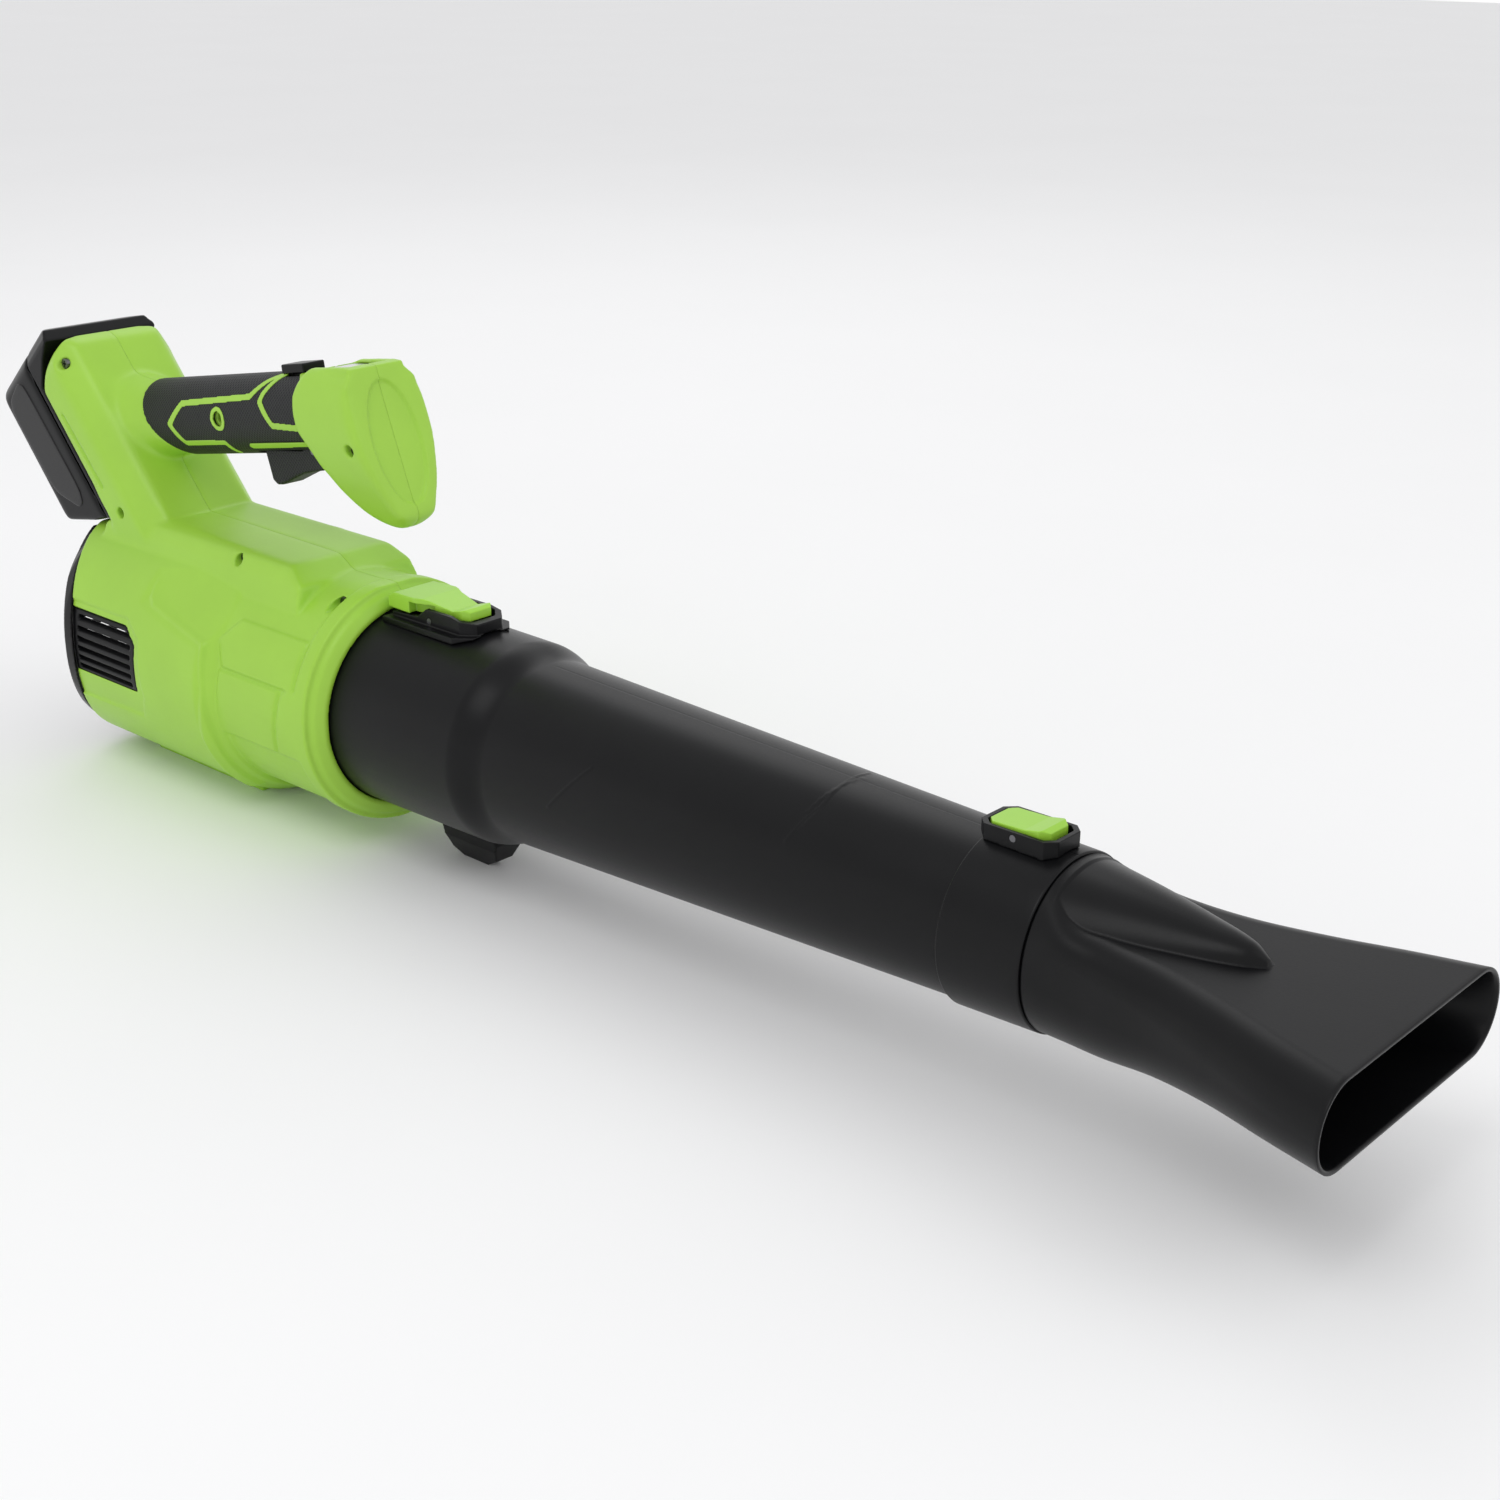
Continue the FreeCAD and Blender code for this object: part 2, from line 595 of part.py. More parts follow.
# ---------------------------------------------------------------- trigger, button and switches

def trigger():
    """The finger lever under the front of the grip."""
    outline = [(56, 190.5), (60.5, 177), (64, 175), (68.5, 175.8), (77, 180), (87, 184.8), (96, 187.5),
               (104, 189.5), (106.5, 196), (105, 203), (96, 202.5), (88, 197.5), (57, 193)]
    lever = side_prism(outline, size("trigger_half_width"))
    bore_radius = size("pin_radius") + size("running_gap")
    lever = lever.cut(y_cylinder(bore_radius, size("trigger_pin_x"), size("trigger_pin_z"), -20, 20))
    edges = [edge for edge in lever.Edges if abs(edge.CenterOfMass.y) > size("trigger_half_width") - 0.1
             and edge.BoundBox.ZMax < 191 and edge.BoundBox.XMax < 104.2]
    add_feature("trigger", lever.makeFillet(1.6, edges))


def boost_button():
    """The thumb button on top of the grip, behind the display."""
    half = size("boost_half_width")
    cap = block((80, 99), (-half, half), (20.4, 25.3))
    cap = cap.makeFillet(0.8, cap.Edges)
    stem = block((85, 94), (-4, 4), (15.5, 22))
    add_feature("thumb_button", cap.fuse(stem).removeSplitter(), GRIP)


def switches():
    """The switch behind the trigger and the small one under the thumb button."""
    body = doc.addObject("Part::Box", "speed_switch")
    body.Length = 28
    body.Width = 17
    body.Height = 10
    body.Placement = GRIP.multiply(Placement(Vector(61, -8.5, -5.5), Rotation()))
    register(body, "speed_switch")
    small = doc.addObject("Part::Box", "thumb_switch")
    small.Length = 12
    small.Width = 7
    small.Height = 5
    small.Placement = GRIP.multiply(Placement(Vector(83.5, -3.5, 4.9), Rotation()))
    register(small, "thumb_switch")
    pin_along_y("trigger_pin", "pin_radius", "trigger_pin_x", "trigger_pin_z", "10.6")
    add_feature("trigger_spring", coil_spring(2.4, 10.0, 5), Placement(Vector(73.5, 0, 196.2), Rotation()))
    spring_seat = GRIP.multVec(Vector(89.5, 0, 10.1))
    add_feature("thumb_spring", coil_spring(2.4, 4.8, 4), Placement(spring_seat, GRIP.Rotation))


# ---------------------------------------------------------------- battery receiver and pack

def battery_receiver():
    """The black rails and terminal block let into the back of the mast."""
    floor = block((10.5, 12.7), (-24.6, 24.6), (24, 110))
    rails = []
    for side in (-1, 1):
        rails.append(block((0.4, 10.6), sorted((side * 21.8, side * 24.6)), (24, 104)))
        rails.append(block((2.5, 5.5), sorted((side * 18.3, side * 22.0)), (24, 104)))
    terminal = block((3, 10.6), (-18, 18), (24, 36))
    add_feature("battery_receiver", fused([floor, terminal] + rails), MAST)
    blades = [block((4.6, 8.4), (y - 0.4, y + 0.4), (36, 50)) for y in (-13, -5, 5, 13)]
    add_feature("terminal_blades", Part.makeCompound(blades), MAST)


PACK_SIDE = [(-0.4, 22), (-2.2, 22), (-16.3, 28.6), (-40, 43), (-42.6, 48), (-42.6, 131), (-35.7, 137), (6.9, 137),
             (16, 134.5), (23, 130), (24, 122.5), (13, 117.5), (-0.4, 107.5)]
PACK_SPLIT = -4.0
PACK_INSIDE = [(PACK_SPLIT, 26), (-16.3, 31), (-39, 45), (-40.4, 48), (-40.4, 125.5), (PACK_SPLIT, 125.5)]
PACK_CROWN = [(37.5, 0), (37.5, 120), (36.5, 125), (34, 129.5), (30, 133), (24, 135.6), (17, 137), (0, 137.3)]
PACK_SCREWS = [(y, up) for y in (-31, 31) for up in (36, 118)]


def battery_cases():
    """The two halves of the pack's case, hollow for the cells."""
    side = side_prism(PACK_SIDE, size("pack_half_width"))
    side = side.common(front_prism(mirrored_outline(PACK_CROWN), -60, 60))
    inner_side = side_prism(PACK_INSIDE, size("pack_half_width") - 2)
    inner_side = inner_side.common(front_prism(inset_outline(mirrored_outline(PACK_CROWN), 2), -60, 60))
    for y, up in PACK_SCREWS:
        inner_side = inner_side.cut(v_cylinder(4.2, -9.7, PACK_SPLIT, y, up))
    half = size("pack_half_width")
    side = side.common(plan_prism([(-43, 3 - half), (-40, -half), (30, -half), (30, half), (-40, half),
                                   (-43, half - 3)], 0, 160))
    side = side.fuse(block((-0.5, 5.9), (-17.9, 17.9), (37, 112)))
    side = side.fuse(block((5.9, 10), (-21.4, 21.4), (37, 112)))
    terminal_slots = [block((3.8, 12), (y - 1.5, y + 1.5), (36, 54)) for y in (-13, -5, 5, 13)]
    side = side.cut(Part.makeCompound(terminal_slots))
    well = block((-22.4, 10.4), (-15.4, 15.4), (127.6, 140))
    case = side.cut(inner_side).cut(well)
    for y, up in PACK_SCREWS:
        case = case.cut(v_cylinder(1.2, -9, 0, y, up)).cut(v_cylinder(2.3, -1.8, 0, y, up))
    base = case.common(block((PACK_SPLIT, 30), (-50, 50), (0, 160)))
    cover = case.common(block((-60, PACK_SPLIT), (-50, 50), (0, 160)))
    add_feature("battery_base_case", largest(base), MAST)
    add_feature("battery_cover_case", largest(cover), MAST)


def battery_contents():
    """Cells, the frame that holds them, the board, the contacts and the case screws."""
    cells = []
    radius = size("cell_radius")
    depth = -19.3
    plates = [block((-30, -12), sorted((side * 20, side * 23)), (31, 124.8)) for side in (-1, 1)]
    holder = Part.makeCompound(plates).common(side_prism(inset_outline(PACK_INSIDE, GAP), 30))
    for index in range(5):
        up = 43.6 + index * size("cell_pitch")
        cells.append(y_cylinder(radius, depth, up, -size("cell_length") / 2, size("cell_length") / 2))
        holder = holder.cut(y_cylinder(radius + 0.05, depth, up, -40, 40))
    add_feature("battery_cells", Part.makeCompound(cells), MAST)
    add_feature("cell_holder", holder, MAST)
    board = doc.addObject("Part::Box", "battery_board")
    board.Length = 1.6
    board.Width = 32
    board.Height = 70
    board.Placement = MAST.multiply(Placement(Vector(-8.0, -16, 50), Rotation()))
    register(board, "battery_board")
    leaves = []
    for y in (-13, -5, 5, 13):
        for side in (-1, 1):
            leaves.append(block((4.6, 8.4), sorted((y + side * 0.75, y + side * 1.2)), (40, 53.9)))
    add_feature("battery_contacts", Part.makeCompound(leaves), MAST)
    screws = []
    for y, up in PACK_SCREWS:
        screws.append(v_cylinder(1.2, -9, -1.8, y, up).fuse(v_cylinder(2.1, -1.8, -0.7, y, up)))
    add_feature("battery_screws", Part.makeCompound(screws), MAST)


def release_button():
    """The green push button on top of the pack, with its spring."""
    body = block((-22, 10), (-15, 15), (131.2, 137.4))
    body = body.makeFillet(1.0, [edge for edge in body.Edges if edge.BoundBox.ZMin > 137])
    add_feature("release_button", body, MAST)
    seat = MAST.multVec(Vector(-10, 0, 127.85))
    add_feature("release_spring", coil_spring(3.0, 3.2, 3), Placement(seat, LEAN))


# ---------------------------------------------------------------- fan and motor

def fan_duct():
    """The fan duct with its stator vanes and the hub that holds the motor."""
    inner = size("duct_radius")
    outer = inner + size("duct_wall")
    hub = size("hub_radius")
    ring = x_cylinder(outer, 6, 129.6).cut(x_cylinder(inner, 5, 131))
    bell = turned([(-1, 60), (6, outer), (6.2, inner), (-1, 58)])
    flange = x_cylinder(61.2, 124, 129.6).cut(x_cylinder(inner, 123, 131))
    cup = x_cylinder(hub, 50, 112).cut(x_cylinder(hub - 2, 56, 106))
    parts = [ring, bell, flange, cup]
    count = int(size("vane_count"))
    for index in range(count):
        vane = block((64, 100), (-1, 1), (AXIS + hub - 1, AXIS + inner + 1))
        vane.rotate(Vector(82, 0, AXIS), Vector(0, 0, 1), 14)
        vane.rotate(Vector(0, 0, AXIS), Vector(1, 0, 0), 360 * (index + 0.25) / count)
        parts.append(vane)
    duct = fused(parts)
    duct = duct.cut(x_cylinder(8.0, 49, 57)).cut(x_cylinder(8.0, 105, 113))
    add_feature("fan_duct", duct)


def motor():
    """Stator, rotor, shaft and the two bearings."""
    hub = size("hub_radius") - 2
    core = x_cylinder(hub - 0.05, 62, 92).cut(x_cylinder(15.6, 61, 93))
    for index in range(6):
        slot = block((60, 94), (-2.2, 2.2), (AXIS + 15, AXIS + 19.5))
        slot.rotate(Vector(0, 0, AXIS), Vector(1, 0, 0), 60 * index)
        core = core.cut(slot)
    add_feature("motor_stator", core)
    shaft = doc.addObject("Part::Cylinder", "motor_shaft")
    shaft.setExpression("Radius", "Dimensions.shaft_radius")
    shaft.Height = 100
    shaft.Placement = Placement(Vector(12, 0, AXIS), Rotation(Vector(0, 1, 0), 90))
    shaft.setExpression("Placement.Base.z", "Dimensions.axis_height")
    register(shaft, "motor_shaft")
    turned_body("motor_rotor", [("64", "shaft_radius"), ("90", "shaft_radius"), ("90", "15"), ("64", "15")])
    seat = "shaft_radius + running_gap"
    turned_body("rear_bearing", [("50.2", seat), ("55.8", seat), ("55.8", "7.98"), ("50.2", "7.98")])
    turned_body("front_bearing", [("106.2", seat), ("111.8", seat), ("111.8", "7.98"), ("106.2", "7.98")])


def impeller():
    """The axial fan: a hub with twisted blades, held by a nut."""
    hub = size("hub_radius")
    tip = size("impeller_tip_radius")
    parts = [x_cylinder(hub, 22, 47)]
    for index in range(int(size("blade_count"))):
        rings = []
        for radius, pitch, thickness in ((hub - 1, 35, 2.4), (tip, 60, 1.5)):
            half = 12.0
            rise = thickness / 2
            corners = [(-half, -rise), (half, -rise), (half, rise), (-half, rise)]
            turn = Rotation(Vector(0, 0, 1), pitch)
            points = [turn.multVec(Vector(a, b, 0)).add(Vector(34.5, 0, AXIS + radius)) for a, b in corners]
            rings.append(Part.makePolygon(points + points[:1]))
        blade = Part.makeLoft(rings, True, True)
        blade.rotate(Vector(0, 0, AXIS), Vector(1, 0, 0), 360 * index / size("blade_count"))
        parts.append(blade)
    wheel = fused(parts).common(x_cylinder(tip, 15, 60))
    wheel = wheel.cut(x_cylinder(size("shaft_radius"), 10, 60)).cut(x_cylinder(15, 30, 48))
    web = x_cylinder(16, 26, 31).cut(x_cylinder(size("shaft_radius"), 10, 60))
    add_feature("impeller", wheel.fuse(web).removeSplitter())
    nut = doc.addObject("Part::Prism", "fan_nut")
    nut.Polygon = 6
    nut.Circumradius = 5
    nut.Height = 5
    nut.Placement = Placement(Vector(17, 0, AXIS), Rotation(Vector(0, 1, 0), 90))
    doc.recompute()
    bored = nut.Shape.cut(x_cylinder(size("shaft_radius"), 10, 40))
    doc.removeObject(nut.Name)
    add_feature("fan_nut", bored)


def tail_cone():
    """The cone that closes the front of the motor hub."""
    turned_body("tail_cone", [("112", "3"), ("112", "hub_radius"), ("118", "hub_radius - 0.6"), ("150", "14"),
                              ("176", "4"), ("178", "1"), ("120", "1"), ("114", "3")])


def electronics():
    """The motor controller board and the leads that join it to the battery and motor."""
    board = doc.addObject("Part::Box", "controller_board")
    board.Length = 56
    board.Width = 44
    board.Height = 8
    board.Placement = Placement(Vector(-62, -22, 120), Rotation())
    register(board, "controller_board")
    leads = []
    for y in (-6, 6):
        path = [Vector(-27, y, 128.2), Vector(-27, y, 140), Vector(-29, y, 149), Vector(-42.5, y, 160)]
        pieces = [Part.LineSegment(path[i], path[i + 1]).toShape() for i in range(3)]
        wire = Part.Wire(pieces)
        section = Part.Wire(Part.makeCircle(1.6, path[0], Vector(0, 0, 1)))
        leads.append(wire.makePipeShell([section], True, False, 1))
    add_feature("wiring", Part.makeCompound(leads))


# ---------------------------------------------------------------- tube, foot and latches

def blower_tube():
    """The long tapered tube with its front collar."""
    wall = "tube_wall"
    turned_body("blower_tube", [
        ("tube_start", f"tube_rear_radius - {wall}"),
        ("tube_start", "tube_rear_radius"),
        ("mouth_end", "tube_rear_radius"),
        ("tube_shoulder_start", "tube_wide_radius"),
        ("tube_shoulder_end", "tube_taper_radius"),
        ("collar_start", "tube_front_radius"),
        ("collar_start + 2", "collar_rear_radius"),
        ("tube_end", "collar_front_radius"),
        ("tube_end", "spigot_radius + gap"),
        ("tube_end - spigot_length - 1", "spigot_radius + gap"),
        ("tube_end - spigot_length - 3", f"tube_front_radius - {wall}"),
        ("tube_shoulder_end", f"tube_taper_radius - {wall}"),
        ("tube_shoulder_start", f"tube_wide_radius - {wall}"),
    ])


def tube_foot():
    """The support foot under the wide end of the tube."""
    side = side_prism([(189, 30), (189, 12), (191, 4), (197, 0), (216, 0), (225, 5), (230, 16),
                       (230, 30)], 15)
    front = front_prism([(-3.5, 0), (3.5, 0), (9, 12), (13, 30), (-13, 30), (-9, 12)], 180, 240)
    add_feature("tube_foot", side.common(front).cut(x_cylinder(52.7, 150, 260)))


def rear_latch():
    """Lever, carrier, pin and spring of the latch that holds the tube to the housing."""
    x_pin = size("latch_pin_x")
    z_pin = size("latch_pin_z")
    plan = [(163, -14), (163, 14), (214, 14), (219, 10), (221, 8), (221, -8), (219, -10), (214, -14)]
    skirt = [(161, -19), (161, 19), (214, 19), (222, 12), (222, -12), (214, -19)]
    top = side_prism([(160, 110), (160, 128.5), (182, 129.8), (189, 135), (207, 135), (222, 132.4),
                      (222, 110)], 30)
    carrier = plan_prism(plan, 110, 136).fuse(plan_prism(skirt, 110, 126.8)).common(top)
    pocket = plan_prism([(155, -11.4), (155, 11.4), (212, 11.4), (217, 7), (217, -7), (212, -11.4)], 110, 140)
    carrier = carrier.cut(pocket).cut(x_cylinder(53.0, 140, 240))
    carrier = carrier.cut(y_cylinder(size("pin_radius"), x_pin, z_pin, -20, 20))
    add_feature("rear_latch_carrier", largest(carrier))
    side = side_prism([(159, 130), (160, 127.6), (163, 127.8), (164, 130), (186, 130.3), (188, 127.3), (194, 127.3),
                       (197, 131), (214.5, 132.5), (214.5, 137), (212, 138.3), (203, 135.8), (184, 139), (164, 138.5),
                       (159, 136)], 30)
    outline = [(158, -13), (158, 13), (180, 14), (188, 11), (203, 8.6), (211, 9.6), (215, 6.5), (215, -6.5),
               (211, -9.6), (203, -8.6), (188, -11), (180, -14)]
    wide = plan_prism(outline, 130.2, 142)
    narrow = plan_prism([(158, -9), (158, 9), (215, 9), (215, -9)], 120, 130.4)
    shape = wide.fuse(narrow).common(side)
    for reach in ((9, 20), (-20, -9)):
        shape = shape.cut(block((176, 192), reach, (120, 136.2)))
    bore = y_cylinder(size("pin_radius") + size("running_gap"), x_pin, z_pin, -20, 20)
    add_feature("rear_latch_lever", largest(shape.cut(bore)))
    pin_along_y("rear_latch_pin", "pin_radius", "latch_pin_x", "latch_pin_z", "13.8")
    add_feature("rear_latch_spring", coil_spring(2.2, 4.6, 3), Placement(Vector(206, 0, 127.0), Rotation()))


def front_latch():
    """Rocker, carrier, pin and spring of the latch that holds the nozzle."""
    x_pin = size("rocker_pin_x")
    z_pin = size("rocker_pin_z")
    corner = 4.5
    plan = [(527, -12 + corner), (527, 12 - corner), (527 + corner, 12), (565 - corner, 12),
            (565, 12 - corner),
            (565, -12 + corner), (565 - corner, -12), (527 + corner, -12)]
    carrier = plan_prism(plan, 105, 119.6)
    hollow = [(529.5, -6.5), (529.5, 6.5), (533, 9.8), (559, 9.8), (562.5, 6.5), (562.5, -6.5), (559, -9.8),
              (533, -9.8)]
    carrier = carrier.cut(plan_prism(hollow, 100, 125))
    carrier = carrier.cut(turned([(510, 0), (510, 40.3), (531, 40.3), (570, 39.3), (580, 39.3), (580, 0)]))
    carrier = carrier.cut(y_cylinder(size("pin_radius"), x_pin, z_pin, -20, 20))
    add_feature("front_latch_carrier", largest(carrier))
    outline = [(530.5, -6), (530.5, 6), (533.5, 9.2), (556, 9.2), (560, 6), (560, -6),
               (556, -9.2), (533.5, -9.2)]
    side = side_prism([(530, 117), (542.5, 116.4), (543.5, 114.9), (547.5, 114.9), (548.5, 116.4), (561, 117),
                       (561, 121), (557, 122.4), (549, 120.8), (530, 120.3)], 20)
    rocker = plan_prism(outline, 110, 130).common(side)
    bore = y_cylinder(size("pin_radius") + size("running_gap"), x_pin, z_pin, -20, 20)
    add_feature("front_latch_rocker", largest(rocker.cut(bore)))
    pin_along_y("front_latch_pin", "pin_radius", "rocker_pin_x", "rocker_pin_z", "11.8")
    seat = Placement(Vector(554.5, 0, 114.0), Rotation())
    add_feature("front_latch_spring", coil_spring(2.2, 2.7, 2), seat)


# ---------------------------------------------------------------- nozzle

NOZZLE_SECTIONS = [
    # distance in front of the collar, half width, top, bottom, upper and lower corner radius
    (0.5, 37.9, 37.9, -37.9, 37.2, 37.2),
    (14.0, 37.4, 24.5, -36.6, 14.0, 33.0),
    (32.0, 38.2, 21.4, -34.6, 13.0, 28.5),
    (60.0, 42.5, 20.4, -28.5, 15.0, 23.0),
    (90.0, 52.0, 19.8, -23.6, 17.0, 20.5),
    (120.0, 63.5, 19.4, -20.4, 18.5, 19.2),
    (147.6, 72.0, 19.1, -19.1, 18.8, 18.8),
]
NOZZLE_BUMP = [
    # distance in front of the collar, radius, height of its centre above the axis
    (5.0, 36.6, 0.4),
    (32.0, 27.0, 7.2),
    (58.0, 17.0, 13.6),
    (78.0, 8.0, 19.0),
    (87.0, 3.0, 20.4),
]


def rounded_section(x, half_width, top, bottom, upper, lower):
    """A closed wire in a plane of constant X: a rectangle with round corners."""
    arcs = []
    centres = [(half_width - upper, top - upper, 0, upper), (upper - half_width, top - upper, 90, upper),
               (lower - half_width, bottom + lower, 180, lower),
               (half_width - lower, bottom + lower, 270, lower)]
    points = []
    for across, up, angle, radius in centres:
        for turn in (0, 45, 90):
            direction = math.radians(angle + turn)
            y = across + radius * math.cos(direction)
            points.append(Vector(x, y, AXIS + up + radius * math.sin(direction)))
    for index in range(4):
        start, middle, end = points[3 * index:3 * index + 3]
        arcs.append(Part.Arc(start, middle, end).toShape())
        following = points[(3 * index + 3) % 12]
        arcs.append(Part.LineSegment(end, following).toShape())
    return Part.Wire(arcs)


def nozzle_skin(inward):
    """The outside of the nozzle, shrunk by a distance."""
    wires = []
    for distance, half_width, top, bottom, upper, lower in NOZZLE_SECTIONS:
        wires.append(rounded_section(TUBE_END + distance, half_width - inward, top - inward, bottom + inward,
                                     upper - inward, lower - inward))
    return Part.makeLoft(wires, True, False)


def bullet(inward):
    """The tapering bump on top of the nozzle, shrunk by a distance."""
    rings = []
    for distance, radius, centre in NOZZLE_BUMP:
        middle = Vector(TUBE_END + distance, 0, AXIS + centre)
        circle = Part.makeCircle(radius - inward, middle, Vector(1, 0, 0))
        rings.append(Part.Wire(circle))
    return Part.makeLoft(rings, True, False)


def nozzle():
    """The flat fishtail nozzle with its spigot."""
    wall = size("nozzle_wall")
    spigot = size("spigot_radius")
    rear = TUBE_END - size("spigot_length")
    outer = nozzle_skin(0).fuse(bullet(0)).fuse(x_cylinder(spigot, rear, TUBE_END + 5))
    inner = nozzle_skin(wall).common(block((TUBE_END + 4, FAR * 2), (-FAR, FAR), (-FAR, FAR)))
    inner = inner.fuse(bullet(wall)).fuse(x_cylinder(spigot - wall, rear - 1, TUBE_END + 4.5))
    lip = rounded_section(TUBE_END + size("nozzle_length") - 0.1, 70.0, 17.1, -17.1, 16.8, 16.8)
    inner = inner.fuse(Part.Face(lip).extrude(Vector(5, 0, 0)))
    add_feature("nozzle", largest(outer.cut(inner).removeSplitter()))
    ring = x_cylinder(spigot + 0.25, rear + 3, rear + 5).cut(x_cylinder(spigot, rear + 2, rear + 6))
    add_feature("nozzle_seal", ring)


# ---------------------------------------------------------------- screws

def case_screws():
    """The screws that hold the two shells together."""
    screws = []
    for x, z, reach, _ in SCREWS:
        floor = -reach + SCREW_DEPTH
        shank_end = min(reach - 12, 8)
        head = y_cylinder(size("screw_head_radius"), x, z, floor - 2.4, floor)
        shank = y_cylinder(size("screw_radius"), x, z, floor, shank_end)
        drive = block((x - 1.8, x + 1.8), (floor - 3, floor - 1.2), (z - 0.4, z + 0.4))
        cross = block((x - 0.4, x + 0.4), (floor - 3, floor - 1.2), (z - 1.8, z + 1.8))
        screws.append(head.fuse(shank).cut(drive).cut(cross))
    add_feature("case_screws", Part.makeCompound(screws))


def check_and_export():
    """Stop on any failed object, then write one STEP file per sub-part."""
    doc.recompute()
    for item in doc.Objects:
        if "Invalid" in item.State or "Error" in item.State:
            raise RuntimeError(f"{item.Label} did not recompute")
    os.makedirs("parts", exist_ok=True)
    for item in subparts:
        if item.Shape.isNull() or not item.Shape.isValid():
            raise RuntimeError(f"{item.Label} has no valid shape")
        item.Shape.exportStep(os.path.join("parts", f"{item.Label}.step"))


intake_grille()
side_louvres()
grip_covers()
display()
trigger()
boost_button()
switches()
battery_receiver()
battery_cases()
battery_contents()
release_button()
fan_duct()
motor()
impeller()
tail_cone()
electronics()
blower_tube()
tube_foot()
rear_latch()
front_latch()
nozzle()
case_screws()
check_and_export()
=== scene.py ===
"""Cordless leaf blower: the moulded skins, finishes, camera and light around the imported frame."""
import bmesh
import bpy
import json
import math
import numpy as np
from mathutils import Matrix, Vector


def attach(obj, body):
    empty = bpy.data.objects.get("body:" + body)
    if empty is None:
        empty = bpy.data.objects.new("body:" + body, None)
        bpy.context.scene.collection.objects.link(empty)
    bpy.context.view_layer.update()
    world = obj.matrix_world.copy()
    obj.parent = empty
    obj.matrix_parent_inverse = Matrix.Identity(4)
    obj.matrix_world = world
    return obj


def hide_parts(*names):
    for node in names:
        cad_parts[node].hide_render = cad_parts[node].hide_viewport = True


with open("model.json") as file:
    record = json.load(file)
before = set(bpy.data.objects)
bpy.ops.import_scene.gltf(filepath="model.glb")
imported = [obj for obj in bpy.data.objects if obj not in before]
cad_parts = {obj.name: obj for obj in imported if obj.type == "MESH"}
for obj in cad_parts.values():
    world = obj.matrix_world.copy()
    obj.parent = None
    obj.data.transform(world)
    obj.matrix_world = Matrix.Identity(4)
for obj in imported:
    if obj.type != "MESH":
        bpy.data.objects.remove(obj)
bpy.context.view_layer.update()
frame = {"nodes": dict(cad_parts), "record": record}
scene = bpy.context.scene

# The pieces are worked out in millimetres, in the frame's axes, and MM turns them into metres.
# The floor, lights and camera are in metres.
MM = 0.001
AXIS = 74                    # height of the air axis
TUBE_END = 570               # front end of the tube
NOZZLE_LENGTH = 147.6        # in front of the tube's end
BARREL_RADIUS = 70           # fan casing
FAR = 1e9                    # larger than any distance here
MAST_FOOT = (-39.8, 124.9)   # x and z of the mast's origin
MAST_COS, MAST_SIN = 0.7501, 0.6613
GRIP_BASE = 201.4            # height of the grip's centre line at x = 0
GRIP_COS, GRIP_SIN = 0.9845, 0.1754
GRIP_HALF_WIDTH, GRIP_HALF_HEIGHT = 18.5, 21.2
GRIP_MEAN = 20               # radius used to unroll the grip
FACE_CENTRE = (158.6, 210)   # x and z of a point on the head's front face
FACE_SLOPE = 0.388           # how much x falls for each millimetre of height there
FACE_COS, FACE_SIN = 0.932, 0.362


# ------------------------------------------------------------------ finishes

def new_material(name):
    """An empty node material and a small helper that adds and sets nodes."""
    material = bpy.data.materials.new(name)
    material.use_nodes = True
    tree = material.node_tree
    tree.nodes.clear()

    def add(kind, **values):
        node = tree.nodes.new(kind)
        for key, value in values.items():
            if hasattr(node, key):
                setattr(node, key, value)
            else:
                node.inputs[key.replace("_", " ")].default_value = value
        return node

    return material, tree.links.new, add


